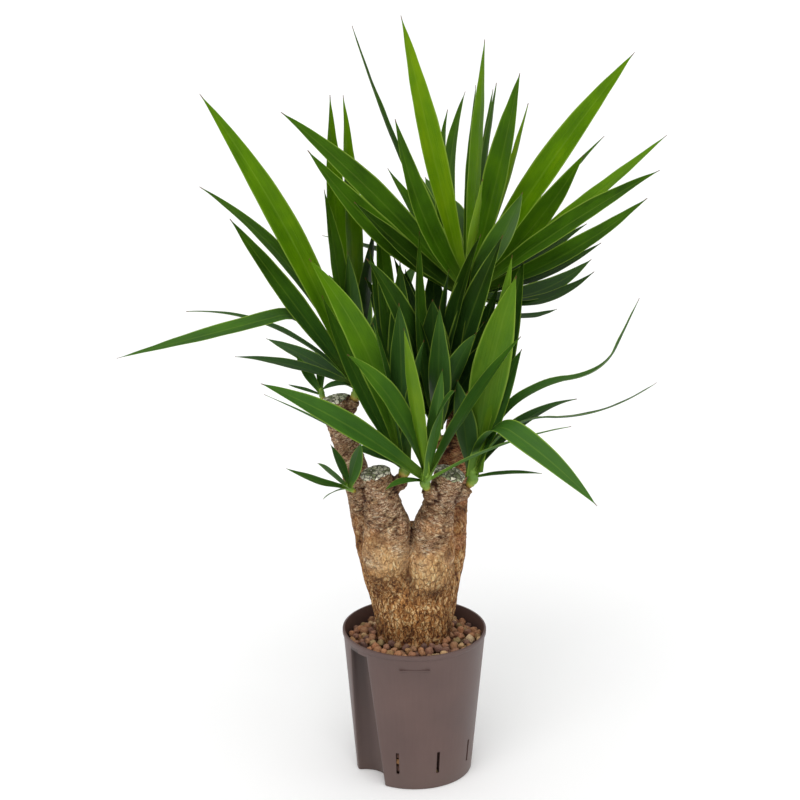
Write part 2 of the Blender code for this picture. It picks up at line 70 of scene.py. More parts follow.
def addNode(tree, kind, settings=None, links=None):
    # one node with its settings and links; stops are a colour ramp's places and hex values
    node = tree.nodes.new("ShaderNode" + kind)
    for key, value in (settings or {}).items():
        if key == "stops":
            ramp = node.color_ramp
            while len(ramp.elements) < len(value):
                ramp.elements.new(0.5)
            for element, (place, code) in zip(ramp.elements, value):
                element.position = place
                element.color = hexColour(code)
        elif isinstance(key, int) or key in node.inputs:
            node.inputs[key].default_value = value
        else:
            setattr(node, key, value)
    wire(tree, node, links or {})
    return node


def wire(tree, node, links):
    # each link comes from a socket, or from a node's first output in use
    for key, source in links.items():
        if isinstance(source, bpy.types.Node):
            source = next(output for output in source.outputs if output.enabled)
        tree.links.new(source, node.inputs[key])


def startMaterial(name, settings):
    # a material with one Principled shader wired to its output
    material = bpy.data.materials.new(name)
    material.use_nodes = True
    tree = material.node_tree
    tree.nodes.clear()
    shader = addNode(tree, "BsdfPrincipled", settings)
    output = addNode(tree, "OutputMaterial", links={"Surface": shader})
    return material, tree, shader, output


def newPiece(name, verts, faces, materials, smooth=True):
    mesh = bpy.data.meshes.new(name)
    mesh.from_pydata([tuple(v) for v in verts], [], faces)
    for material in materials:
        mesh.materials.append(material)
    if smooth:
        mesh.shade_smooth()
    mesh.update()
    piece = bpy.data.objects.new(name, mesh)
    bpy.context.scene.collection.objects.link(piece)
    return piece


def giveAttribute(piece, name, values):
    # a number or a vector for each point
    values = np.asarray(values, dtype=np.float32)
    kind, field = ("FLOAT", "value") if values.ndim == 1 else ("FLOAT_VECTOR", "vector")
    piece.data.attributes.new(name, kind, "POINT").data.foreach_set(field, values.ravel())


def seat(piece, node):
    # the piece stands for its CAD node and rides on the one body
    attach(piece, "root")
    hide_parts(node)
    print(piece.name, "faces:", len(piece.data.polygons))


def applyModifiers(piece):
    graph = bpy.context.evaluated_depsgraph_get()
    mesh = bpy.data.meshes.new_from_object(piece.evaluated_get(graph))
    piece.modifiers.clear()
    old = piece.data
    piece.data = mesh
    bpy.data.meshes.remove(old)


def mm(*values):
    return tuple(value * 0.001 for value in values)


# Camera: a little above the plant and far off, looking down at it
cameraSettings = dict(place=(-0.018, -3.0, 1.539), lookDown=19.25, lens=117.5, sensor=36, clipEnd=60)


def makeCamera(s):
    lens = bpy.data.cameras.new("viewCamera")
    lens.lens, lens.sensor_width, lens.clip_end = s["lens"], s["sensor"], s["clipEnd"]
    camera = bpy.data.objects.new("viewCamera", lens)
    camera.location = s["place"]
    camera.rotation_euler = (math.radians(90 - s["lookDown"]), 0, 0)
    bpy.context.scene.collection.objects.link(camera)
    bpy.context.scene.camera = camera


# Stage: a pale floor lit evenly out to the horizon by three wide suns, each as the way it
# shines, its strength and its spread in degrees
stageSettings = dict(floorHalf=25, floorDrop=0.0004, floorColour="#fdfdfd", worldStrength=0.48,
                     suns=dict(key=((0.16, 0.60, -0.80), 1.20, 45), overhead=((-0.05, -0.10, -1), 0.95, 75),
                               fill=((-0.5, 0.6, -0.60), 0.35, 60)))


def makeStage(s):
    half = s["floorHalf"]
    material, _, shader, _ = startMaterial("mattPaintedFloor", {"Roughness": 0.9})
    shader.inputs["Base Color"].default_value = hexColour(s["floorColour"])
    corners = [(-half, -half, 0), (half, -half, 0), (half, half, 0), (-half, half, 0)]
    floor = newPiece("studioFloor", corners, [(0, 1, 2, 3)], [material], smooth=False)
    floor.location.z = -s["floorDrop"]
    world = bpy.data.worlds.new("studioWorld")
    world.use_nodes = True
    background = world.node_tree.nodes["Background"]
    background.inputs["Color"].default_value = (1, 1, 1, 1)
    background.inputs["Strength"].default_value = s["worldStrength"]
    bpy.context.scene.world = world
    for name, (way, strength, spread) in s["suns"].items():
        light = bpy.data.lights.new(name, "SUN")
        light.energy, light.angle = strength, math.radians(spread)
        sun = bpy.data.objects.new(name, light)
        sun.rotation_euler = Vector(way).to_track_quat("-Z", "Y").to_euler()
        bpy.context.scene.collection.objects.link(sun)
    bpy.context.scene.view_settings.view_transform = "Standard"


makeCamera(cameraSettings)
makeStage(stageSettings)
print("camera and stage ready")

# Pot: one injection moulding, tapered, with a channel down its side for a water gauge.
# channelLow and channelHigh are the channel circle's distance from the axis and radius.
potSettings = dict(height=0.190, rimRadius=0.090, baseRadius=0.0728, wall=0.0018, floor=0.003,
                   bandHeight=0.006, bandStep=0.0012, lip=0.0009, footRound=0.0010,
                   channelAngle=217, channelLow=(0.0780, 0.0290), channelHigh=(0.0878, 0.0153),
                   channelTaper=0.175, channelTop=0.178, cornerRounds=3,
                   wallPoints=220, channelPoints=30,
                   slots=8, slotSize=(0.004, 0.030), slotFoot=0.021, slotFirst=-106, slotStep=39,
                   floorSlots=6, floorSlotSize=(0.018, 0.003), floorSlotRadius=0.045,
                   cutDepth=0.012, markSize=(0.038, 0.0016, 0.0012), markDrop=0.020, markSink=0.0002,
                   ringShares=(0.1, 0.25, 0.4, 0.55, 0.7, 0.85, 0.97, 1.0), sharpAngle=38,
                   # on the next line, the last three values set the painted shade inside the channel
                   channelShadeTurn=0.15, channelShadeSpread=0.7, channelShadeFoot=0.35)


def potWallRadius(z):
    s = potSettings
    neck = s["rimRadius"] - s["bandStep"]
    return s["baseRadius"] + (neck - s["baseRadius"]) * z / (s["height"] - s["bandHeight"])


def channelCircle(z):
    s = potSettings
    share = z / s["channelTaper"]
    (d0, r0), (d1, r1) = s["channelLow"], s["channelHigh"]
    return d0 + (d1 - d0) * share, r0 + (r1 - r0) * share


def potRing(z, radius, inset, grooved):
    # One ring of the wall, starting at the channel; inset is how far it lies inside the skin
    s = potSettings
    distance, bite = channelCircle(min(z, s["channelTop"]))
    bite += inset
    corner = math.acos((distance ** 2 + radius ** 2 - bite ** 2) / (2 * distance * radius))
    points = []
    swing = math.atan2(radius * math.sin(corner), distance - radius * math.cos(corner))
    for i in range(s["channelPoints"]):
        share = i / s["channelPoints"]
        if grooved:
            turn = -swing + 2 * swing * share
            points.append(complex(distance - bite * math.cos(turn), bite * math.sin(turn)))
        else:
            turn = -corner + 2 * corner * share
            points.append(complex(radius * math.cos(turn), radius * math.sin(turn)))
    for i in range(s["wallPoints"]):
        turn = corner + (2 * math.pi - 2 * corner) * i / s["wallPoints"]
        points.append(complex(radius * math.cos(turn), radius * math.sin(turn)))
    if grooved:
        near = [k % len(points) for c in (0, s["channelPoints"]) for k in range(c - 2, c + 3)]
        for _ in range(s["cornerRounds"]):
            was = list(points)
            for k in near:
                points[k] = was[k] / 2 + (was[k - 1] + was[(k + 1) % len(points)]) / 4
    turn = np.exp(1j * math.radians(s["channelAngle"]))
    return [Vector(((p * turn).real, (p * turn).imag, z)) for p in points]


def closedStack(rings):
    # Quads between rings, and a fan over each end
    sides = len(rings[0])
    verts = [v for ring in rings for v in ring]
    faces = []
    for low in range(0, len(verts) - sides, sides):
        for k in range(sides):
            after = (k + 1) % sides
            faces.append((low + k, low + after, low + sides + after, low + sides + k))
    for first, flip in ((0, True), (len(verts) - sides, False)):
        hub = len(verts)
        verts.append(sum((verts[first + k] for k in range(sides)), Vector()) / sides)
        for k in range(sides):
            a, b = first + k, first + (k + 1) % sides
            faces.append((b, a, hub) if flip else (a, b, hub))
    return verts, faces


def boxPoints(size, place):
    x, y, z = (value / 2 for value in size)
    outline = ((-x, -y), (x, -y), (x, y), (-x, y))
    faces = [(0, 3, 2, 1), (4, 5, 6, 7), (0, 1, 5, 4), (1, 2, 6, 5), (2, 3, 7, 6), (3, 0, 4, 7)]
    return [place @ Vector((*point, level)) for level in (-z, z) for point in outline], faces


def booleanWith(piece, shapes, operation):
    # one exact Boolean with all the shapes
    group = bpy.data.collections.new("potTools")
    for verts, faces in shapes:
        tool = newPiece("potTool", verts, faces, [], smooth=False)
        bpy.context.scene.collection.objects.unlink(tool)
        group.objects.link(tool)
    step = piece.modifiers.new("potBoolean", "BOOLEAN")
    step.operation, step.operand_type, step.collection = operation, "COLLECTION", group
    applyModifiers(piece)
    for tool in list(group.objects):
        bpy.data.objects.remove(tool)
    bpy.data.collections.remove(group)


def mouldedPotMaterial():
    # Injection-moulded recycled polypropylene: a dull mauve brown with the faint cloudiness
    # of regrind, a soft broad sheen and fine scuffs, dustier towards the foot, and painted
    # shade inside the channel, darkest along one wall and up under the rim
    material, tree, shader, _ = startMaterial("mouldedPolypropylene", {"Roughness": 0.42, "IOR": 1.49})
    place = addNode(tree, "TexCoord").outputs["Object"]
    # clouds of about 60 mm, flow marks 25 mm tall and 4 mm wide, and a 0.8 mm orange peel
    clouds = addNode(tree, "TexNoise", {"Scale": 16, "Detail": 3}, {"Vector": place})
    stretch = addNode(tree, "Mapping", {"Scale": (250, 250, 14)}, {"Vector": place})
    flow = addNode(tree, "TexNoise", {"Scale": 1, "Detail": 2}, {"Vector": stretch})
    peel = addNode(tree, "TexNoise", {"Scale": 1250, "Detail": 2}, {"Vector": place})
    tint = addNode(tree, "ValToRGB", {"stops": ((0.3, "#594541"), (0.7, "#634d48"))},
                   {"Fac": clouds})
    streaks = addNode(tree, "Mix", {"data_type": "RGBA", "blend_type": "MULTIPLY", 7: hexColour("#f4f0ee")},
                      {0: flow, 6: tint})
    height = addNode(tree, "SeparateXYZ", links={0: place}).outputs["Z"]
    dust = addNode(tree, "MapRange", {"From Min": 0.0, "From Max": 0.05, "To Min": 0.22, "To Max": 0.0},
                   {"Value": height})
    colour = addNode(tree, "Mix", {"data_type": "RGBA", 7: hexColour("#75645a")},
                     {0: dust, 6: streaks})
    # painted shade in the channel, where the rim and the channel's wall keep the light off
    stain = addNode(tree, "Attribute", {"attribute_name": "stain"}).outputs["Fac"]
    channelShaded = addNode(tree, "Mix", {"data_type": "RGBA", "blend_type": "MULTIPLY", 7: hexColour("#8c786c")},
                      {0: stain, 6: colour})
    wire(tree, shader, {"Base Color": channelShaded})
    dull = addNode(tree, "MapRange", {"To Min": 0.36, "To Max": 0.54}, {"Value": clouds})
    wire(tree, shader, {"Roughness": dull})
    bump = addNode(tree, "Bump", {"Strength": 0.25, "Distance": 0.0002}, {"Height": peel})
    wire(tree, shader, {"Normal": bump})
    return material


def makePot(s):
    neck = s["height"] - s["bandHeight"]
    wall, lip, foot = s["wall"], s["lip"], s["footRound"]

    def skin(z, radius=None, inset=0.0, grooved=True):
        return potRing(z, (radius or potWallRadius(z)) - inset, inset, grooved)

    rings = [skin(0.0, inset=foot), skin(foot * 0.3, inset=foot * 0.3), skin(foot)]
    rings += [skin(s["channelTop"] * share) for share in s["ringShares"]]
    rings.append(skin(s["channelTop"] + 0.0002, grooved=False))
    # the rim band and its rounded lip, outside from below and then down the inside
    top, outer, inner = s["height"], s["rimRadius"], potWallRadius(neck) - wall
    for z, radius in ((neck - 0.0004, None), (neck, potWallRadius(neck) + 0.0004),
                      (neck + 0.0003, outer - 0.0003), (neck + 0.0008, outer), (top - lip, outer),
                      (top - lip * 0.4, outer - lip * 0.2), (top, outer - lip), (top, inner + lip * 0.5),
                      (top - lip, inner)):
        rings.append(skin(z, radius, grooved=False))
    shelf = s["channelTop"] + wall
    rings.append(skin(shelf, potWallRadius(shelf) - wall, grooved=False))
    for share in (0.995, 0.8, 0.6, 0.4, 0.2, 0.0):
        rings.append(skin(s["floor"] + (shelf - s["floor"]) * share, inset=wall))
    pot = newPiece("potShell", *closedStack(rings), [mouldedPotMaterial()])
    cuts = []
    for i in range(s["slots"]):
        middle = s["slotFoot"] + s["slotSize"][1] / 2
        turn = Matrix.Rotation(math.radians(s["slotFirst"] + s["slotStep"] * i), 4, "Z")
        place = turn @ Matrix.Translation((potWallRadius(middle), 0, middle))
        cuts.append(boxPoints((s["cutDepth"], *s["slotSize"]), place))
    for i in range(s["floorSlots"]):
        turn = Matrix.Rotation(2 * math.pi * i / s["floorSlots"], 4, "Z")
        place = turn @ Matrix.Translation((s["floorSlotRadius"], 0, 0))
        cuts.append(boxPoints((*s["floorSlotSize"], s["cutDepth"]), place))
    booleanWith(pot, cuts, "DIFFERENCE")
    high = top - s["markDrop"]
    place = Matrix.Translation((0, s["markSink"] - potWallRadius(high), high))
    booleanWith(pot, [boxPoints(s["markSize"], place)], "UNION")
    # painted shade inside the channel: darker on one side of it and towards its top under the rim
    paintedChannelShades = []
    for vertex in pot.data.vertices:
        x, y, z = vertex.co
        here = complex(x, y) * np.exp(-1j * math.radians(s["channelAngle"]))
        distance, bite = channelCircle(min(z, s["channelTop"]))
        turn = math.atan2(here.imag, distance - here.real)
        inside = abs(distance - here) < bite + wall * 0.6 and z < s["channelTop"] + wall * 0.5
        aside = min(1.0, max(0.0, s["channelShadeTurn"] - turn) / s["channelShadeSpread"])
        paintedChannelShades.append(inside * aside * (s["channelShadeFoot"] + (1 - s["channelShadeFoot"]) * z / s["channelTop"]))
    giveAttribute(pot, "stain", paintedChannelShades)
    pot.data.shade_smooth()
    pot.data.set_sharp_from_angle(angle=math.radians(s["sharpAngle"]))
    seat(pot, "pot")


makePot(potSettings)
print("pot ready")

# Pebbles: fired clay granules 7 to 16 mm across, two loose layers over a dark fill.
# peeks are granules seen through the wall slots, as slot, height and radius.
pebbleSettings = dict(seed=12, levelWall=0.1765, levelTrunk=0.1850, trunkCentre=(0, 0.008),
                      trunkRadius=0.0462, reach=0.0864, layers=((0.0115, 200), (0.0020, 230)),
                      radius=(0.0040, 0.0106), smallBias=1.5, sink=0.55, jitter=0.0015,
                      overlap=0.86, tries=9000,
                      coreTop=0.162, coreInset=0.0050, shadeSpread=0.06,
                      shades=(0.10, 0.16, 0.24, 0.30, 0.36, 0.46, 0.52, 0.62, 0.74, 0.90),
                      peeks=((0, 0.045, 0.0042), (0, 0.036, 0.0046), (0, 0.026, 0.0050), (1, 0.018, 0.0050),
                             (2, 0.031, 0.0055), (2, 0.023, 0.0045), (3, 0.040, 0.0050), (4, 0.028, 0.0050),
                             (5, 0.033, 0.0050), (6, 0.041, 0.0050), (7, 0.030, 0.0050)))


def firedClayMaterial():
    # Clay rolled into granules and fired: dry, dusty and fine grained, each its own shade
    # from terracotta to olive and purple grey, paler where dust has settled on top
    material, tree, shader, _ = startMaterial("firedClayGranules", {"Roughness": 0.88, "IOR": 1.45})
    place = addNode(tree, "TexCoord").outputs["Object"]
    tint = addNode(tree, "Attribute", {"attribute_name": "tint"}).outputs["Fac"]
    stops = ((0.0, "#4a3430"), (0.16, "#7a584c"), (0.32, "#ad7854"), (0.48, "#8e6a4e"), (0.62, "#b58058"),
             (0.76, "#85734c"), (0.90, "#c8a478"), (1.0, "#dcc8a4"))
    own = addNode(tree, "ValToRGB", {"stops": stops}, {"Fac": tint})
    # grain of 1.5 mm, drawn coarser than the real 0.3 mm so that a picture shows it
    grain = addNode(tree, "TexNoise", {"Scale": 650, "Detail": 4, "Roughness": 0.7}, {"Vector": place})
    spots = addNode(tree, "ValToRGB", {"stops": ((0.36, "#8a7468"), (0.5, "#ffffff"), (0.68, "#fff2dc"))},
                    {"Fac": grain})
    worn = addNode(tree, "Mix", {"data_type": "RGBA", "blend_type": "MULTIPLY", 0: 0.75},
                   {6: own, 7: spots})
    upward = addNode(tree, "SeparateXYZ", links={0: addNode(tree, "NewGeometry").outputs["Normal"]})
    dusty = addNode(tree, "MapRange", {"From Min": 0.5, "From Max": 1.0, "To Min": 0.0, "To Max": 0.10},
                    {"Value": upward.outputs["Z"]})
    colour = addNode(tree, "Mix", {"data_type": "RGBA", 7: hexColour("#cdb08e")},
                     {0: dusty, 6: worn})
    wire(tree, shader, {"Base Color": colour})
    bump = addNode(tree, "Bump", {"Strength": 0.6, "Distance": 0.0006}, {"Height": grain})
    wire(tree, shader, {"Normal": bump})
    return material


def unitBall(rounds):
    ball = bmesh.new()
    bmesh.ops.create_icosphere(ball, subdivisions=rounds, radius=1.0)
    verts = np.array([v.co[:] for v in ball.verts])
    faces = [tuple(v.index for v in face.verts) for face in ball.faces]
    ball.free()
    return verts, faces


def scatterPebbles(s, rng):
    # Centres by dart throwing, the lower layer first; no two overlap by more than a little
    placed = []
    alongX, alongY = s["trunkCentre"]
    for drop, wanted in s["layers"]:
        found = 0
        for _ in range(s["tries"]):
            if found == wanted:
                break
            small, large = s["radius"]
            radius = small + (large - small) * rng.random() ** s["smallBias"]
            turn, far = rng.uniform(0, 2 * math.pi), s["reach"] * math.sqrt(rng.uniform(0.15, 1))
            x, y = far * math.cos(turn), far * math.sin(turn)
            fromTrunk = math.hypot(x - alongX, y - alongY) - s["trunkRadius"]
            if fromTrunk < radius * 0.2 or far + radius > s["reach"]:
                continue
            distance, bite = channelCircle(s["levelWall"])
            middle = complex(x, y) - distance * np.exp(1j * math.radians(potSettings["channelAngle"]))
            if abs(middle) < bite + potSettings["wall"] + radius:
                continue
            near = min(1.0, fromTrunk / 0.03)
            z = s["levelTrunk"] + (s["levelWall"] - s["levelTrunk"]) * near - drop - radius * s["sink"]
            z += rng.uniform(-s["jitter"], s["jitter"])
            if any((x - a) ** 2 + (y - b) ** 2 + (z - c) ** 2 < ((radius + r) * s["overlap"]) ** 2
                   for a, b, c, r in placed):
                continue
            placed.append((x, y, z, radius))
            found += 1
    for slot, z, radius in s["peeks"]:
        turn = math.radians(potSettings["slotFirst"] + potSettings["slotStep"] * slot)
        far = potWallRadius(z) - potSettings["wall"] - 0.0004 - radius * 1.12
        placed.append((far * math.cos(turn), far * math.sin(turn), z, radius))
    return placed


def makePebbles(s):
    rng = random.Random(s["seed"])
    inset = s["coreInset"] + potSettings["wall"]
    low = potSettings["floor"] + 0.0006
    levels = [low + (s["coreTop"] - low) * share for share in (0, 0.25, 0.5, 0.75, 1)]
    verts, faces = closedStack([potRing(z, potWallRadius(z) - inset, inset, True) for z in levels])
    verts = [tuple(v) for v in verts]
    tints = [0.0] * len(verts)
    ball, ballFaces = unitBall(3)
    for x, y, z, radius in scatterPebbles(s, rng):
        turn = rng.uniform(0, 6.3)
        axes = Matrix.Rotation(turn, 3, Vector([rng.uniform(-1, 1) for _ in range(3)]).normalized())
        sizes = Vector((rng.uniform(0.86, 1.08), rng.uniform(0.86, 1.1), rng.uniform(0.8, 1.0)))
        shift = Vector((rng.uniform(0, 90), rng.uniform(0, 90), 0))
        tint = rng.choice(s["shades"]) + rng.uniform(-s["shadeSpread"], s["shadeSpread"])
        tint = min(1.0, max(0.06, tint))
        start = len(verts)
        for point in ball:
            way = Vector(point)
            lump = 1 + 0.34 * noise.noise(way * 1.1 + shift) + 0.12 * noise.noise(way * 3.1 + shift)
            at = axes @ Vector((way.x * sizes.x, way.y * sizes.y, way.z * sizes.z)) * (radius * lump)
            verts.append((x + at.x, y + at.y, z + at.z))
        faces += [tuple(start + k for k in face) for face in ballFaces]
        tints += [tint] * len(ball)
    pebbles = newPiece("clayPebbles", verts, faces, [firedClayMaterial()])
    giveAttribute(pebbles, "tint", tints)
    seat(pebbles, "clay_pebbles")


makePebbles(pebbleSettings)
print("pebbles ready")

# Trunk. Arms are stations up from the body, in mm: x, y, z, radius.
arms = {
    "front_left": (mm(-27, -4, 250, 24), mm(-33, -20, 274, 28), mm(-35, -25, 300, 29.5),
                   mm(-34, -29, 338, 28.5), mm(-41, -31, 378, 21), mm(-48, -33, 410, 18)),
    "front_right": (mm(12, -3, 246, 25), mm(17, -18, 270, 30), mm(20, -21, 300, 30), mm(23, -25, 339, 24),
                    mm(33, -28, 377, 18), mm(43, -30, 408, 19)),
    "back_left": (mm(-20, 12, 216, 32), mm(-35, 21, 250, 28), mm(-46, 30, 280, 25), mm(-56, 38, 315, 22),
                  mm(-65, 43, 350, 19), mm(-76, 48, 388, 17), mm(-86, 50, 421, 16), mm(-92, 51, 446, 18),
                  mm(-99.5, 52, 474, 18.2)),
    "back_right": (mm(18, 13, 216, 34), mm(29, 21, 250, 29), mm(36, 30, 282, 28), mm(39, 37, 316, 27),
                   mm(42, 42, 350, 25), mm(47, 46, 388, 20), mm(53, 49, 426, 16), mm(59, 52, 496, 13.5),
                   mm(64, 54, 556, 13), mm(64, 54, 586, 13)),
}
# body is the swollen base as height and radius in mm; blend rounds the joints. swells are bumps
# with a painted highlight on them, and hollows the dips under them with painted shade in them, as
# centre and reach. barkFrom and barkTo bound the change from the corky base to the ringed arms,
# whose scars run scarStep apart along them.
trunkSettings = dict(centre=(0, 0.008),
                     body=((66, 44.0), (116, 46.0), (188, 48.0), (218, 50.2), (250, 51.2), (276, 47.0),
                           (302, 34.0), (324, 16.0)),
                     voxel=0.0016, blend=0.006, barkFrom=0.272, barkTo=0.345, barkRagged=0.05,
                     swells=(mm(-33, -44, 302, 24), mm(17, -46, 283, 24)), swellRise=0.0060,
                     hollows=(mm(-38, -40, 268, 15), mm(30, -44, 248, 18)), hollowDepth=0.0035,
                     creaseFrom=0.252, plateDepth=0.0018, lumpDepth=0.0026, scarStep=0.0150,
                     scarTurns=4, scarDepth=0.0013, scarWidth=0.72, grainStretch=1.1)


def stubTubes():
    # Branch stubs that carry the heads, from inside an arm to a flat end
    tubes = []
    for head in heads.values():
        if head["knob"]:
            *start, radius = head["knob"]
            foot, rise = Vector(head["foot"]), Vector(head["rise"]).normalized()
            tubes.append(((*start, radius * 1.15), (*(foot - rise * radius), radius * 1.05),
                          (*foot, radius * 0.9)))
    return tubes


def tubeShape(stations, sides):
    # A closed tube through stations of (x, y, z, radius), its ends square to its line
    points = [Vector(station[:3]) for station in stations]
    verts, side = [], None
    for i, point in enumerate(points):
        tangent = (points[min(i + 1, len(points) - 1)] - points[max(i - 1, 0)]).normalized()
        side = side or tangent.orthogonal()
        side = (side - tangent * side.dot(tangent)).normalized()
        other = tangent.cross(side)
        for k in range(sides):
            turn = 2 * math.pi * k / sides
            verts.append(point + (side * math.cos(turn) + other * math.sin(turn)) * stations[i][3])
    return ringFaces(verts, sides)


def ringFaces(verts, sides):
    faces = []
    for ring in range(0, len(verts) - sides, sides):
        for k in range(sides):
            after = (k + 1) % sides
            faces.append((ring + k, ring + after, ring + sides + after, ring + sides + k))
    faces.append(tuple(range(sides - 1, -1, -1)))
    faces.append(tuple(range(len(verts) - sides, len(verts))))
    return verts, faces


def tubeDistance(points, stations):
    # Signed distance of many points to a tube with flat ends, and where they lie along it
    best = np.full(len(points), 1e9)
    where = np.zeros(len(points))
    axis = np.zeros((len(points), 3))
    centre = np.zeros((len(points), 3))
    run = 0.0
    ends = np.array([station[:3] for station in stations])
    for a, b in zip(stations, stations[1:]):
        start, step = np.array(a[:3]), np.array(b[:3]) - np.array(a[:3])
        length = np.linalg.norm(step)
        share = np.clip((points - start) @ step / length ** 2, 0, 1)
        on = start + share[:, None] * step
        distance = np.linalg.norm(points - on, axis=1) - (a[3] + (b[3] - a[3]) * share)
        closer = distance < best
        best = np.where(closer, distance, best)
        where = np.where(closer, run + share * length, where)
        axis[closer], centre[closer] = step / length, on[closer]
        run += length
    last = (ends[-1] - ends[-2]) / np.linalg.norm(ends[-1] - ends[-2])
    return np.maximum(best, (points - ends[-1]) @ last), where, axis, centre


def bodyDistance(points, s):
    # Signed distance to the turned body, near its skin
    z, radius = np.array(s["body"]).T * 0.001
    far = np.hypot(points[:, 0] - s["centre"][0], points[:, 1] - s["centre"][1])
    slope = np.interp(points[:, 2], z, np.gradient(radius, z))
    side = (far - np.interp(points[:, 2], z, radius)) / np.sqrt(1 + slope ** 2)
    return np.maximum(np.maximum(side, points[:, 2] - z[-1]), z[0] - points[:, 2])


def trunkDistance(points, s, tubes):
    # All parts joined with rounded creases
    total = bodyDistance(points, s)
    for stations in tubes:
        other = tubeDistance(points, stations)[0]
        mix = np.clip(0.5 + 0.5 * (other - total) / s["blend"], 0, 1)
        total = other + (total - other) * mix - s["blend"] * mix * (1 - mix)
    return total


def barkMaterial():
    # Living bark, shed and grown by the plant itself: dry cork with no shine. Tan, crumbly and
    # pitted on the base; browner above, with the crossing scars of fallen leaves
    material, tree, shader, _ = startMaterial("corkyBark", {"Roughness": 0.9, "IOR": 1.4})
    place = addNode(tree, "TexCoord").outputs["Object"]
    grainPlace = addNode(tree, "Attribute", {"attribute_name": "grainPlace"}).outputs["Vector"]
    crevice, arm, warmth, pale = (addNode(tree, "Attribute", {"attribute_name": name}).outputs["Fac"]
                                  for name in ("crevice", "arm", "warmth", "pale"))
    broad = addNode(tree, "TexNoise", {"Scale": 42, "Detail": 3}, {"Vector": place})
    # chips of 5 mm, about twice the size of the real crumbs; upright on the base, level on the
    # arms, whose grainPlace is in mm and stretched along each of them
    upright = addNode(tree, "Mapping", {"Scale": (1000, 1000, 560)}, {"Vector": place})
    flecks, pits = (addNode(tree, "Mix", {}, {0: arm, 2: addNode(tree, kind, settings, {"Vector": upright}),
                                              3: addNode(tree, kind, settings, {"Vector": grainPlace})})
                    for kind, settings in (
                        ("TexNoise", {"Scale": 0.19, "Detail": 4, "Roughness": 0.66, "Distortion": 1.4}),
                        ("TexVoronoi", {"Scale": 0.15, "feature": "DISTANCE_TO_EDGE"})))
    # the palest flecks, which the bump also raises, are partly the bark's own light specks and partly a
    # painted highlight on the chips
    cork = addNode(tree, "ValToRGB", {"stops": ((0.38, "#663a1c"), (0.46, "#b47a40"), (0.53, "#d29a5c"),
                                                (0.60, "#fad8a0"))}, {"Fac": flecks})
    scarred = addNode(tree, "ValToRGB", {"stops": ((0.38, "#6c4632"), (0.46, "#bc8c68"), (0.53, "#dab088"),
                                                   (0.60, "#ffeac8"))}, {"Fac": flecks})
    plain = addNode(tree, "Mix", {"data_type": "RGBA"}, {0: arm, 6: cork, 7: scarred})
    warm = addNode(tree, "Mix", {"data_type": "RGBA", "blend_type": "MULTIPLY", 7: hexColour("#eab080")},
                   {0: warmth, 6: plain})
    tone = addNode(tree, "ValToRGB", {"stops": ((0.34, "#a08c74"), (0.48, "#e8dece"), (0.58, "#ffffff"))},
                   {"Fac": broad})
    toned = addNode(tree, "Mix", {"data_type": "RGBA", "blend_type": "MULTIPLY", 0: 0.8},
                    {6: warm, 7: tone})
    # painted highlight: the swells and the lips beside the scars made paler
    highlighted = addNode(tree, "Mix", {"data_type": "RGBA", "blend_type": "SCREEN", 7: hexColour("#bc9466")},
                     {0: pale, 6: toned})
    rise = addNode(tree, "SeparateXYZ", links={0: place}).outputs["Z"]
    # darker towards the foot, just above the pebbles
    lowDarkening = addNode(tree, "MapRange", {"From Min": 0.178, "From Max": 0.205, "To Min": 0.6, "To Max": 0.0},
                   {"Value": rise})
    footed = addNode(tree, "Mix", {"data_type": "RGBA", "blend_type": "MULTIPLY", 7: hexColour("#a88468")},
                     {0: lowDarkening, 6: highlighted})
    edge = addNode(tree, "MapRange", {"From Min": 0.0, "From Max": 0.08, "To Min": 0.6, "To Max": 0.0},
                   {"Value": pits})
    cracked = addNode(tree, "Mix", {"data_type": "RGBA", "blend_type": "MULTIPLY", 7: hexColour("#6c4630")},
                      {0: edge, 6: footed})
    # darker in the bark's own grooves and scars, with painted shade in the creases between the parts and in
    # the hollows under the swells
    colour = addNode(tree, "Mix", {"data_type": "RGBA", "blend_type": "MULTIPLY", 7: hexColour("#6a4832")},
                     {0: crevice, 6: cracked})
    wire(tree, shader, {"Base Color": colour})
    height = addNode(tree, "Math", {"operation": "MULTIPLY_ADD", 1: -0.35},
                     {0: edge, 2: flecks})
    bump = addNode(tree, "Bump", {"Strength": 1.0, "Distance": 0.0060}, {"Height": height})
    wire(tree, shader, {"Normal": bump})
    return material


def smoothTrunk(s, tubes):
    # one skin round all the parts; also its points and the way out from each
    x, y = s["centre"]
    shapes = [tubeShape([(x, y, *mm(z, radius)) for z, radius in s["body"]], 48)]
    shapes += [tubeShape(stations, 32) for stations in tubes]
    verts, faces = [], []
    for shapeVerts, shapeFaces in shapes:
        faces += [tuple(len(verts) + k for k in face) for face in shapeFaces]
        verts += shapeVerts
    trunk = newPiece("barkTrunk", verts, faces, [barkMaterial()])
    step = trunk.modifiers.new("oneSkin", "REMESH")
    step.mode, step.voxel_size = "VOXEL", s["voxel"]
    applyModifiers(trunk)
    points = np.empty(len(trunk.data.vertices) * 3)
    trunk.data.vertices.foreach_get("co", points)
    points = points.reshape(-1, 3)
    small, rounds, farthest = 0.0004, 3, 0.002
    for _ in range(rounds):
        here = trunkDistance(points, s, tubes)
        slope = np.stack([trunkDistance(points + small * unit, s, tubes) - here for unit in np.eye(3)], 1)
        slope /= small
        steep = np.maximum((slope ** 2).sum(1), 0.3)
        points -= np.clip(here / steep, -farthest, farthest)[:, None] * slope
    return trunk, points, slope / np.linalg.norm(slope, axis=1)[:, None]


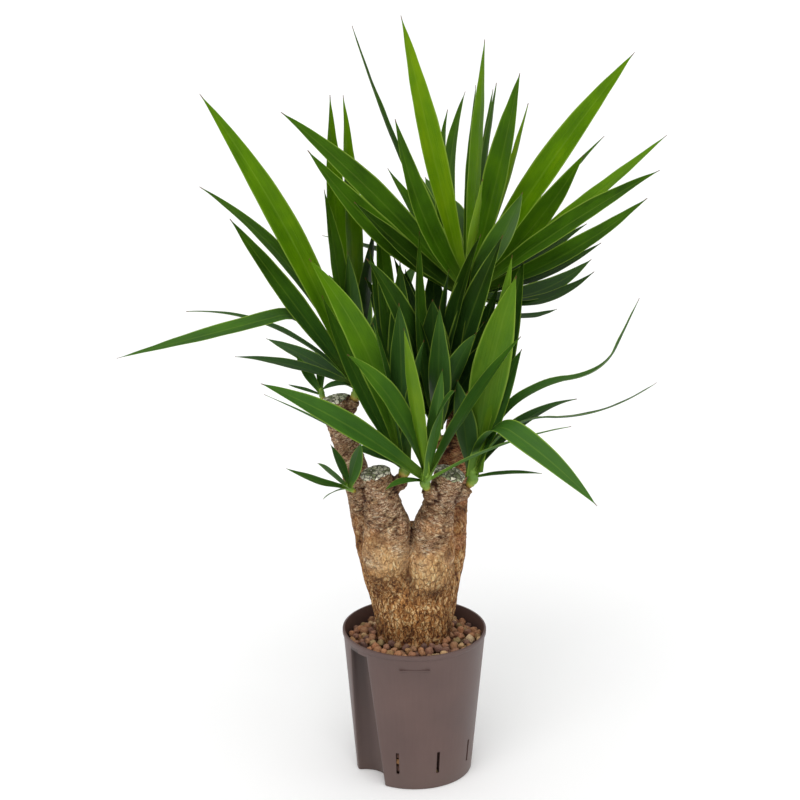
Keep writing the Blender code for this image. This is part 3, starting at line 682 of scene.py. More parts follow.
def makeTrunk(s):
    tubes = list(arms.values()) + stubTubes()
    trunk, points, outward = smoothTrunk(s, tubes)

    # what each point lies on: the nearest arm, the way along it, and the creases between parts
    reach = [tubeDistance(points, stations) for stations in arms.values()]
    nearest = np.argmin(np.array([r[0] for r in reach]), axis=0)
    parts = [bodyDistance(points, s)] + [tubeDistance(points, stations)[0] for stations in tubes]
    crease = np.clip(np.min(parts, axis=0) / (0.2 * s["blend"]), 0, 1)
    crease *= np.clip((points[:, 2] - s["creaseFrom"]) / 0.02, 0.1, 1)
    pick = np.arange(len(points))
    where, axis, centre = (np.array([r[k] for r in reach])[nearest, pick] for k in (1, 2, 3))
    ragged = np.array([noise.noise(Vector(p) * 45) + 0.5 * noise.noise(Vector(p) * 130) for p in points])
    above = points[:, 2] + ragged * s["barkRagged"] - s["barkFrom"]
    arm = np.clip(above / (s["barkTo"] - s["barkFrom"]), 0, 1)
    arm = arm * arm * (3 - 2 * arm)
    flat = (outward * axis).sum(1) > 0.9
    aside = np.cross(axis, (0.0, 1.0, 0.0))
    aside /= np.linalg.norm(aside, axis=1)[:, None]
    spoke = points - centre
    turn = np.arctan2((spoke * np.cross(axis, aside)).sum(1), (spoke * aside).sum(1))

    crevice, lipHighlight = np.zeros((2, len(points)))
    warmth = arm * 0.75 * (nearest == list(arms).index("back_right"))
    swell, hollow = (sum(np.exp(-((points - place[:3]) ** 2).sum(1) / place[3] ** 2) for place in s[key])
                     for key in ("swells", "hollows"))
    moved = np.array(points)
    for i, point in enumerate(points):
        at = Vector(point)
        lump = noise.noise(at * 38) * 0.7 + noise.noise(at * 85 + Vector((7, 0, 0))) * 0.3
        stretched = Vector((at.x, at.y, at.z * 0.45))
        plate = abs(noise.noise(stretched * 110)) + 0.5 * abs(noise.noise(stretched * 230))
        groove = max(0.0, 1 - plate * 3.2)
        wave = noise.noise(at * 60) * 1.6 + noise.noise(at * 170) * 0.9
        phase = where[i] / s["scarStep"] * 2 * math.pi
        broken = max(0.0, 0.6 + 1.1 * noise.noise(at * 120))
        turns = (phase + s["scarTurns"] * turn[i] + wave, phase - s["scarTurns"] * turn[i] - wave)
        # each scar, and the lip that stands up beside it
        over = (max(math.cos(t - lag) for t in turns) - s["scarWidth"] for lag in (0.0, 1.0))
        scar, lip = (max(0.0, rise) / (1 - s["scarWidth"]) * broken for rise in over)
        share = arm[i] * (0.35 if flat[i] else 1)
        moved[i] = point + outward[i] * (lump * s["lumpDepth"] * (1 - 0.65 * arm[i])
                                         - groove * s["plateDepth"] * (1 - 0.7 * arm[i])
                                         - (scar - 0.6 * lip) * s["scarDepth"] * share
                                         + swell[i] * s["swellRise"] - hollow[i] * s["hollowDepth"])
        # the bark's own grooves and scars are darker, and painted shade falls in the creases between the
        # parts and in the hollows under the swells
        lipHighlight[i] = min(1.0, lip * share)
        crevice[i] = min(1.0, groove * 0.4 * (1 - 0.5 * arm[i]) + scar * 0.7 * share + crease[i] * 0.8
                         + hollow[i] * 0.45)
    mesh = trunk.data
    mesh.vertices.foreach_set("co", moved.ravel())
    # the last layer is a painted highlight on the swells and on the lips beside the scars
    layers = dict(grainPlace=(points + axis * (where * s["grainStretch"])[:, None]) * 1000, crevice=crevice,
                  arm=arm, warmth=warmth, pale=np.minimum(swell + lipHighlight * 0.9, 1))
    for name, values in layers.items():
        giveAttribute(trunk, name, values)
    mesh.update()
    mesh.shade_smooth()
    seat(trunk, "trunk")


# Sealing wax on the three sawn arms, dabbed on by hand
waxSettings = dict(arms=("front_left", "front_right", "back_left"), rings=15, sides=72, gap=0.0003,
                   thickness=0.0030, drip=0.0036, skirts=(0.35, 0.7, 1.0), lumps=0.0016, ragged=0.07,
                   overhang=0.0006, hem=0.93, sharpAngle=60)


def sealingWaxMaterial():
    # Tree wax gone hard: grey green, crazed into plates, with chalky cream where it has
    # bloomed, and only a dull gloss left
    material, tree, shader, _ = startMaterial("crazedTreeWax", {"Roughness": 0.55, "IOR": 1.44})
    place = addNode(tree, "TexCoord").outputs["Object"]
    # plates of 6 mm with 0.7 mm cracks; blooms of 5 mm
    bend = addNode(tree, "TexNoise", {"Scale": 120, "Detail": 2}, {"Vector": place})
    shifted = addNode(tree, "VectorMath", {"operation": "MULTIPLY_ADD", 1: (0.006, 0.006, 0.006)},
                      {0: bend.outputs["Color"], 2: place})
    plates = addNode(tree, "TexVoronoi", {"Scale": 165, "feature": "DISTANCE_TO_EDGE"},
                     {"Vector": shifted})
    blooms = addNode(tree, "TexNoise", {"Scale": 240, "Detail": 4, "Roughness": 0.7}, {"Vector": place})
    cells = addNode(tree, "TexVoronoi", {"Scale": 165}, {"Vector": shifted})
    own = addNode(tree, "SeparateColor", links={0: cells.outputs["Color"]})
    shade = addNode(tree, "Math", {"operation": "MULTIPLY_ADD", 1: 0.9},
                    {0: blooms, 2: own})
    tint = addNode(tree, "ValToRGB", {"stops": ((0.40, "#747a58"), (0.70, "#a8ac84"), (0.92, "#cfceaa"),
                                                (1.0, "#fff8e0"))}, {"Fac": shade})
    crack = addNode(tree, "MapRange", {"From Min": 0.0, "From Max": 0.09, "To Min": 0.95, "To Max": 0.0},
                    {"Value": plates})
    colour = addNode(tree, "Mix", {"data_type": "RGBA", 7: hexColour("#4c3a28")},
                     {0: crack, 6: tint})
    wire(tree, shader, {"Base Color": colour})
    height = addNode(tree, "Math", {"operation": "MULTIPLY_ADD", 1: -1.2},
                     {0: crack, 2: blooms})
    bump = addNode(tree, "Bump", {"Strength": 1.0, "Distance": 0.0030}, {"Height": height})
    wire(tree, shader, {"Normal": bump})
    return material


def makeWaxCaps(s):
    material = sealingWaxMaterial()
    for name in s["arms"]:
        stations = arms[name]
        end = Vector(stations[-1][:3])
        axis = (end - Vector(stations[-2][:3])).normalized()
        side = axis.orthogonal().normalized()
        other = axis.cross(side)
        armRadius = stations[-1][3]
        verts = [end + axis * s["thickness"], end + axis * s["gap"]]

        def ringPoint(k, share, skirt):
            # share runs from the middle to the rim; skirt is how far down the side
            turn = 2 * math.pi * k / s["sides"]
            way = side * math.cos(turn) + other * math.sin(turn)
            rim = 1 + s["ragged"] * noise.noise(end * 90 + way * 2.5)
            lump = s["lumps"] * noise.noise((end + way * share * armRadius) * 260)
            dome = s["thickness"] * (1 - share ** 7) + lump * (1 - share ** 4)
            drop = s["drip"] * max(0.12, 0.55 + 1.3 * noise.noise(end * 50 + way * 3.4))
            radius = armRadius * share * rim + s["overhang"] * min(1, share * 1.2)
            return end + way * radius + axis * (dome - drop * skirt)

        shares = [(i / s["rings"]) ** 0.7 for i in range(1, s["rings"] + 1)]
        for share in shares:
            verts += [ringPoint(k, share, 0) for k in range(s["sides"])]
        for skirt in s["skirts"]:
            verts += [ringPoint(k, 1.0 - 0.006 * skirt, skirt) for k in range(s["sides"])]
        last = len(verts) - s["sides"]
        inner = len(verts)
        for k in range(s["sides"]):
            spoke = verts[last + k] - verts[1]
            verts.append(verts[1] + (spoke - axis * spoke.dot(axis)) * s["hem"])
        faces = []
        for k in range(s["sides"]):
            after = (k + 1) % s["sides"]
            faces += [(0, 2 + k, 2 + after), (1, inner + after, inner + k)]
            for low in range(2, inner, s["sides"]):
                faces.append((low + k, low + s["sides"] + k, low + s["sides"] + after, low + after))
        cap = newPiece("waxSeal_" + name, verts, faces, [material])
        cap.data.set_sharp_from_angle(angle=math.radians(s["sharpAngle"]))
        seat(cap, "wax_cap_" + name)


# Foliage. A blade's tip lies from its head's heart by azimuth, elevation and reach in mm;
# tone runs from 0, dark, to 1, bright, and is partly the leaf's age and partly painted light and
# shade, set brighter on lit leaves and darker on shaded ones. A folded one has a second stretch after its
# knee.


def blade(azimuth, elevation, reach, width, bow, roll, tone, twist=0, fold=None, sway=0.0):
    return dict(azimuth=azimuth, elevation=elevation, reach=reach, width=width, bow=bow, roll=roll,
                twist=twist, fold=fold, sway=sway, tone=tone)


heads = {
    "head_front_centre": dict(
        knob=mm(30, -31, 379, 9), foot=mm(16, -46, 392), rise=(-0.35, -0.45, 0.82),
        heart=mm(14, -53, 414), stem=0.0080, taper=0.45, leaves=[
            blade(-150, -8, 58, 14, 0.12, 10, 0.45),
            blade(-176, 29, 222, 22, 0.02, -20, 0.35),
            blade(2, 19, 184, 26, 0.05, 20, 0.55),
            blade(-169, 33, 238, 34, 0.04, 42, 0.45),
            blade(-4, 58, 210, 38, 0.03, -15, 0.45),
            blade(-152, 58, 200, 36, 0.08, 55, 0.55),
            blade(-73, 53, 180, 34, 0.10, -60, 0.35),
            blade(-110, 69, 225, 24, 0.00, 20, 0.9),
            blade(-60, 76, 150, 20, 0.00, 10, 0.5)]),
    "head_front_right": dict(
        knob=mm(40, -28, 376, 9), foot=mm(64, -24, 387), rise=(0.60, 0.10, 0.79),
        heart=mm(71, -23, 408), stem=0.0085, taper=0.4, leaves=[
            blade(-4, -1, 84, 14, 0.04, 0, 0.4),
            blade(33, 22, 168, 30, 0.12, 5, 0.25),
            blade(13, 40, 100, 20, 0.12, 20, 0.2, fold=(32, 3, 186, 25, -0.09)),
            blade(7, 36, 196, 30, 0.21, -24, 0.4, twist=60, fold=(22, 64, 104, 40, 0.0)),
            blade(-52, 53, 92, 34, 0.14, -15, 0.45, fold=(-36, -28, 152, 12, 0.04)),
            blade(39, 73, 266, 42, -0.003, -20, 0.2),
            blade(-37, 77, 265, 46, 0.03, 59, 0.8),
            blade(-30, 80, 285, 22, 0.00, 70, 0.85)],
        hidden=((1, (58, 66), (54, 60), (190, 215)),),
        fillers=[blade(-140, 74, 190, 36, 0.03, 40, 0.2),
                 blade(-110, 66, 150, 32, 0.03, 10, 0.2),
                 blade(150, 72, 200, 38, 0.02, 20, 0.1),
                 blade(-10, 70, 170, 32, 0.02, -60, 0.35)]),
    "head_front_left": dict(
        knob=mm(-38, -31, 388, 9), foot=mm(-15, -30, 403), rise=(0.35, 0.0, 0.94),
        heart=mm(-13, -30, 428), stem=0.0080, leaves=[
            blade(162, 2, 66, 22, 0.14, 30, 0.3),
            blade(146, 20, 72, 26, 0.05, 35, 0.3),
            blade(174, 64, 225, 34, -0.02, 31, 0.5),
            blade(-165, 66, 284, 38, 0.06, 76, 0.65),
            blade(129, 75, 256, 38, 0.01, -16, 0.3),
            blade(115, 76, 325, 32, -0.01, -18, 0.4),
            blade(97, 80, 240, 34, -0.03, 5, 0.3)],
        fillers=[blade(-100, 80, 210, 38, 0.02, 20, 0.2),
                 blade(-60, 74, 170, 34, 0.02, -30, 0.15),
                 blade(-135, 74, 190, 36, 0.02, 50, 0.3)]),
    "head_low_left": dict(
        knob=mm(-50, -32, 380, 7), foot=mm(-72, -35, 385), rise=(-0.80, -0.15, 0.58),
        heart=mm(-83, -38, 393), stem=0.0045, taper=0.4, leaves=[
            blade(138, -34, 48, 10, 0.08, 5, 0.4),
            blade(-159, 24, 84, 20, -0.04, 14, 0.45),
            blade(126, 53, 56, 18, 0.05, -20, 0.35),
            blade(-119, 38, 86, 22, 0.00, 40, 0.5),
            blade(-65, 58, 84, 20, 0.00, 70, 0.35)]),
    "head_middle": dict(
        knob=mm(46, 46, 412, 9), foot=mm(29, 35, 428), rise=(-0.45, -0.35, 0.82),
        heart=mm(26, 31, 451), stem=0.0080, leaves=[
            blade(-72, 48, 215, 36, 0.06, -13, 0.2),
            blade(-89, 58, 220, 32, -0.08, 30, 0.25),
            blade(-15, 67, 200, 33, -0.02, -57, 0.15),
            blade(-138, 64, 255, 38, 0.06, 81, 0.2),
            blade(-58, 70, 280, 42, 0.05, -75, 0.12),
            blade(-115, 79, 262, 34, -0.08, 92, 0.35),
            blade(115, 63, 195, 40, -0.04, 5, 0.1),
            blade(140, 54, 185, 40, 0.0, 11, 0.1),
            blade(92, 66, 205, 38, 0.0, -3, 0.1)],
        hidden=((3, (70, 112), (22, 56), (220, 270)),),
        fillers=[blade(-25, 78, 225, 40, 0.02, -70, 0.08),
                 blade(-60, 82, 205, 42, 0.02, -40, 0.05),
                 blade(-10, 72, 250, 38, 0.02, -60, 0.1),
                 blade(-95, 70, 190, 42, 0.03, 10, 0.1),
                 blade(-50, 60, 175, 40, 0.04, -40, 0.08),
                 blade(-35, 66, 150, 40, 0.03, -30, 0.04),
                 blade(20, 80, 235, 42, 0.02, -20, 0.05),
                 blade(-120, 72, 170, 38, 0.03, 40, 0.15),
                 blade(170, 76, 215, 40, 0.02, 30, 0.1),
                 blade(-160, 70, 225, 46, 0.0, 30, 0.12),
                 blade(178, 65, 205, 44, 0.02, 30, 0.1),
                 blade(-5, 55, 150, 36, 0.04, -40, 0.1)]),
    "head_top": dict(
        knob=None, foot=mm(64, 54, 586), rise=(0.0, 0.0, 1.0),
        heart=mm(64, 52, 622), stem=0.0115, leaves=[
            blade(52, -22, 210, 18, -0.08, -14, 0.15),
            blade(32, -4, 192, 28, -0.13, -5, 0.2),
            blade(43, -3, 222, 32, -0.10, -18, 0.2),
            blade(26, 9, 190, 30, -0.06, -1, 0.2),
            blade(-137, 37, 232, 34, -0.02, 53, 0.15),
            blade(3, 26, 242, 34, -0.05, -23, 0.42),
            blade(32, 16, 185, 26, -0.02, -5, 0.25),
            blade(-27, 35, 300, 34, 0.02, -44, 0.36),
            blade(-152, 42, 288, 40, -0.045, 58, 0.42),
            blade(-171, 44.7, 317, 38, 0.028, 46, 0.4),
            blade(18, 33, 308, 32, -0.01, -7, 0.72),
            blade(126, 34, 200, 32, 0.00, -18, 0.4),
            blade(62, 23, 215, 30, 0.00, 29, 0.4),
            blade(31, 39, 256, 30, 0.01, 12, 0.4),
            blade(-70, 43, 232, 36, -0.02, 4, 0.42),
            blade(4, 49, 212, 36, -0.04, -42, 0.55),
            blade(-86, 46, 245, 26, 0.00, -55, 0.95),
            blade(-129, 59, 270, 42, -0.06, 80, 0.42),
            blade(99, 52, 235, 32, -0.05, 67, 0.4, sway=-0.06),
            blade(91, 65, 240, 34, -0.05, 59, 0.4, sway=-0.08),
            blade(84, 65, 248, 28, 0.00, 60, 0.4),
            blade(-23, 56, 366, 38, 0.02, -67, 0.7),
            blade(70, 65, 252, 30, 0.00, 53, 0.4),
            blade(76, 57, 254, 28, 0.00, 57, 0.4),
            blade(164, 65, 343, 20, -0.028, 0, 0.3),
            blade(36, 67, 232, 28, -0.03, 21, 0.9),
            blade(-166, 76, 345, 34, 0.0, 67, 0.85),
            blade(-47, 73, 288, 42, -0.01, -85, 0.5),
            blade(28, 86, 301, 34, 0.00, 2, 0.72)],
        hidden=((5, (62, 122), (5, 48), (240, 300)), (3, (118, 142), (0, 22), (220, 260)))),
    "head_back_left": dict(
        knob=mm(-92, 50, 458, 9), foot=mm(-75, 47, 475), rise=(0.45, -0.05, 0.89),
        heart=mm(-70, 48, 501), stem=0.0080, leaves=[
            blade(-146, -4, 54, 14, 0.15, 10, 0.2),
            blade(155, 2, 172, 26, 0.045, 4, 0.2),
            blade(128, 1, 196, 28, 0.02, 6, 0.2),
            blade(159, 15, 240, 22, 0.12, -9, 0.25),
            blade(-160, 48, 128, 26, 0.00, 20, 0.4, fold=(-176, -14, 218, 14, 0.0)),
            blade(-159, 54, 273, 33, 0.0, 56, 0.3),
            blade(168, 50, 306, 34, 0.09, 11, 0.4),
            blade(-171, 63, 410, 36, 0.035, 68, 0.68),
            blade(-123, 75, 266, 34, 0.00, 90, 0.4),
            blade(126, 81, 352, 36, -0.035, -10, 0.7),
            blade(-128, 86, 366, 40, 0.01, 82, 0.75)],
        hidden=((4, (66, 118), (14, 56), (210, 270)),),
        fillers=[blade(-100, 72, 190, 38, 0.02, 40, 0.15),
                 blade(-60, 78, 215, 38, 0.02, -30, 0.1),
                 blade(-30, 70, 190, 38, 0.02, -50, 0.1)]),
    "head_outer_left": dict(
        knob=mm(-99, 55, 450, 6), foot=mm(-113, 72, 466), rise=(-0.35, 0.45, 0.82),
        heart=mm(-116, 77, 476), stem=0.0040, leaves=[
            blade(144, -2, 52, 11, 0.00, -3, 0.4),
            blade(150, 48, 56, 13, 0.00, 40, 0.45),
            blade(100, 76, 52, 13, 0.00, 30, 0.5)]),
}

# outline and trough are shares of the half width along the blade; lean, clearance, tries and
# coarse are for setting the blades clear of their neighbours, as in the frame
leafSettings = dict(hiddenSeed=7,
                    outline=((0.0, 0.42), (0.12, 0.48), (0.28, 0.78), (0.42, 0.97), (0.55, 1.0),
                             (0.72, 0.78), (0.87, 0.40), (1.0, 0.0)),
                    trough=((0, 0.70), (0.15, 0.45), (0.40, 0.22), (0.80, 0.20), (1.0, 0.30)),
                    coarseSteps=6, coarseThick=0.0020, lean=0.012, tries=8, clearance=0.0012, gap=0.0003,
                    steps=46, across=12, midThick=0.0010, edgeThick=0.00035, valley=0.30, wave=0.0006,
                    tipFrom=0.94, leastHalf=0.0003, stemSides=28, stemRows=26, sheaths=5, sharpAngle=55)


def heading(azimuth, elevation):
    a, e = math.radians(azimuth), math.radians(elevation)
    return Vector((math.cos(e) * math.cos(a), math.cos(e) * math.sin(a), math.sin(e)))


def along(table, t):
    return float(np.interp(t, [row[0] for row in table], [row[1] for row in table]))


def smoothAlong(table, t):
    # the same table with its corners rounded
    return sum(along(table, min(1.0, max(0.0, t + shift))) for shift in (-0.06, -0.03, 0, 0.03, 0.06)) / 5


def curve(a, b, c, t):
    return a * (1 - t) ** 2 + b * (2 * t * (1 - t)) + c * t ** 2


def bladeLine(root, heart, leaf, lean):
    # the midrib as a function of t from 0 to 1
    reach = leaf["reach"] * 0.001
    tip = heart + heading(leaf["azimuth"], leaf["elevation"]) * reach
    side = Vector((math.sin(math.radians(leaf["azimuth"])), -math.cos(math.radians(leaf["azimuth"])), 0))
    if not leaf["fold"]:
        tip += lean
    rise = side.cross((tip - root).normalized()).normalized()
    middle = (root + tip) / 2 + (rise * leaf["bow"] + side * leaf["sway"]) * 2 * (tip - root).length
    if not leaf["fold"]:
        return lambda t: curve(root, middle, tip, t)
    azimuth, elevation, onward, rounding, bow = leaf["fold"]
    knee, end = tip, tip + heading(azimuth, elevation) * onward * 0.001 + lean
    past = (knee + end) / 2 + Vector((0, 0, 2 * bow * (end - knee).length))
    share = (knee - root).length / ((knee - root).length + (end - knee).length)
    ease = rounding * 0.001 / ((knee - root).length + (end - knee).length)

    def twoStretches(t):
        if t < share - ease:
            return curve(root, middle, knee, t / share)
        if t > share + ease:
            return curve(knee, past, end, (t - share) / (1 - share))
        before = curve(root, middle, knee, (share - ease) / share)
        after = curve(knee, past, end, ease / (1 - share))
        return curve(before, knee, after, (t - share + ease) / (2 * ease))
    return twoStretches


def bladeFrame(line, leaf, t):
    # point, tangent, sideways and upward at t
    level = Vector((math.sin(math.radians(leaf["azimuth"])), -math.cos(math.radians(leaf["azimuth"])), 0))
    tangent = (line(min(t + 0.02, 1)) - line(max(t - 0.02, 0))).normalized()
    side = (level - tangent * level.dot(tangent)).normalized()
    side = Matrix.Rotation(-math.radians(leaf["roll"] + leaf["twist"] * t), 3, tangent) @ side
    return line(t), tangent, side, side.cross(tangent)


def coarseBlade(root, heart, leaf, lean):
    # the frame's plain blade with a little clearance, for the test against its neighbours
    s = leafSettings
    line = bladeLine(root, heart, leaf, lean)
    steps = s["coarseSteps"] + (3 if leaf["fold"] else 0)
    verts, faces = [], []
    for i in range(steps):
        t = i / steps
        point, _, side, up = bladeFrame(line, leaf, t)
        half = along(s["outline"], t) * leaf["width"] * 0.0005 + s["clearance"]
        trough = up * (half * along(s["trough"], t))
        thick = up * (s["coarseThick"] * (1 - 0.4 * t) / 2 + s["clearance"])
        verts += [point - side * half + trough, point - thick, point + side * half + trough, point + thick]
    tip = len(verts)
    verts.append(line(1.0))
    faces += [(0, 1, 2), (0, 2, 3)]
    for ring in range(0, tip - 4, 4):
        for k in (0, 2):
            edge, low, high = ring + k, ring + (1 if k == 0 else 3), ring + (3 if k == 0 else 1)
            faces += [(edge, edge + 4, low + 4), (edge, low + 4, low)]
            faces += [(edge, high + 4, edge + 4), (edge, high, high + 4)]
    last = tip - 4
    faces += [(last + k, tip, last + (k + 1) % 4) for k in range(4)]
    return verts, faces


def stemStations(head):
    foot, rise, heart = Vector(head["foot"]), Vector(head["rise"]).normalized(), Vector(head["heart"])
    radius = head["stem"]
    start = foot + rise * leafSettings["gap"]
    middle = foot + rise * (heart - foot).length * 0.5
    end = heart + (heart - foot) * 0.35
    return [(*start, radius), (*middle, radius * 1.2), (*heart, radius * 1.15), (*end, radius * 0.6)]


def allLeaves(head):
    # the leaves placed one by one, then those that a rule adds on the hidden side
    leaves = list(head["leaves"])
    rng = random.Random(leafSettings["hiddenSeed"])
    for count, azimuths, elevations, reaches in head.get("hidden", ()):
        for i in range(count):
            azimuth = azimuths[0] + (azimuths[1] - azimuths[0]) * (i + rng.uniform(0.2, 0.8)) / count
            leaf = blade(azimuth, rng.uniform(*elevations), rng.uniform(*reaches), rng.uniform(30, 38),
                         rng.uniform(0.02, 0.08), rng.uniform(-35, 35), 0.3)
            leaf["byRule"] = True
            leaves.insert(rng.randrange(len(leaves)), leaf)
    return leaves


def leanWays(leaf):
    way = Vector((0, 0.94, -0.33))
    if "byRule" in leaf:
        turn = math.radians(leaf["azimuth"])
        way = Vector((-math.sin(turn), math.cos(turn), 0))
    steps = [0] + [sign * k for k in range(1, leafSettings["tries"]) for sign in (1, -1)]
    return [way * (step * leafSettings["lean"]) for step in steps]


def settle(root, heart, leaf, others):
    # the first lean that keeps a blade clear of the others; the last one where none does
    for lean in leanWays(leaf):
        tree = BVHTree.FromPolygons(*coarseBlade(root, heart, leaf, lean))
        if not any(tree.overlap(solid) for solid in others):
            return tree, lean, True
    return tree, lean, False


def grownHeads():
    # sets every leaf on its stem; one that would cross another head or an arm leans aside
    tubes = [tubeShape(stations, 14) for stations in arms.values()]
    tubes += [tubeShape(stations, 10) for stations in stubTubes()]
    solids = {"trunk": [BVHTree.FromPolygons(*tube) for tube in tubes]}
    for name, head in heads.items():
        solids[name] = [BVHTree.FromPolygons(*tubeShape(stemStations(head), 8))]
    grown = {name: [] for name in heads}
    # fillers are inner leaves that only the picture needs, set last so that they shift no other
    for filling in (False, True):
        for name, head in heads.items():
            heart, foot = Vector(head["heart"]), Vector(head["foot"])
            leaves = head.get("fillers", ()) if filling else allLeaves(head)
            for i, leaf in enumerate(leaves):
                share = 0.6 + 0.08 * i % 0.4 if filling else 0.5 + 0.5 * i / len(leaves)
                root = foot.lerp(heart, share) + heading(leaf["azimuth"], 0) * head["stem"] * 0.4
                others = [solid for key in solids if key != name for solid in solids[key]]
                tree, lean, clear = settle(root, heart, leaf, others)
                if filling and not clear:
                    print("no room for a filler of", name, leaf["azimuth"], leaf["elevation"])
                    continue
                solids[name].append(tree)
                grown[name].append((root, heart, leaf, lean))
    return grown


def fineBlade(root, heart, leaf, lean, seed):
    # A closed blade: a grid above and one below that share their rim. Returns its points,
    # faces, and for each point its place in mm, share along, share across and underside
    s = leafSettings
    line = bladeLine(root, heart, leaf, lean)
    steps, wide = s["steps"], s["across"]
    length = leaf["reach"] + (leaf["fold"][2] if leaf["fold"] else 0)
    verts, places, marks = [], [], []
    rows = [[], []]
    dip = s["valley"]
    for i in range(steps + 1):
        t = i / steps
        point, _, side, up = bladeFrame(line, leaf, t)
        half = max(s["leastHalf"], smoothAlong(s["outline"], t) * leaf["width"] * 0.0005)
        if t > s["tipFrom"]:
            near = (t - s["tipFrom"]) / (1 - s["tipFrom"])
            half = max(s["leastHalf"], half * (1 - near ** 1.5 * 0.9))
        trough = half * smoothAlong(s["trough"], t)
        for under in (0, 1):
            row = []
            for j in range(wide + 1):
                share = 2 * j / wide - 1
                if under and j in (0, wide):
                    row.append(rows[0][i][j])
                    continue
                rib = (math.hypot(share, dip) - dip) / (math.hypot(1, dip) - dip)
                thick = s["edgeThick"] + (s["midThick"] - s["edgeThick"]) * (1 - share ** 2) * (1 - 0.5 * t)
                thick = 0 if abs(share) == 1 else thick / 2
                ripple = noise.noise(Vector((t * length * 0.035, share * 0.8, seed * 7.3)))
                ripple *= s["wave"] * share ** 2
                lift = trough * rib + (ripple * 1.6 * min(1, 3 * t)) + (-thick if under else thick)
                row.append(len(verts))
                verts.append(point + side * (half * share) + up * lift)
                places.append((half * share * 1000, t * length, seed * 37.0))
                marks.append((t, share, under))
            rows[under].append(row)
    faces = []
    for i in range(steps):
        for j in range(wide):
            for under, grid in enumerate(rows):
                face = (grid[i][j], grid[i][j + 1], grid[i + 1][j + 1], grid[i + 1][j])
                faces.append(face[::-1] if under else face)
    for i in (0, steps):
        top, low = rows[0][i], rows[1][i]
        for j in range(wide):
            face = tuple(dict.fromkeys((top[j + 1], top[j], low[j], low[j + 1])))
            faces.append(face if i == 0 else face[::-1])
    return verts, faces, places, marks


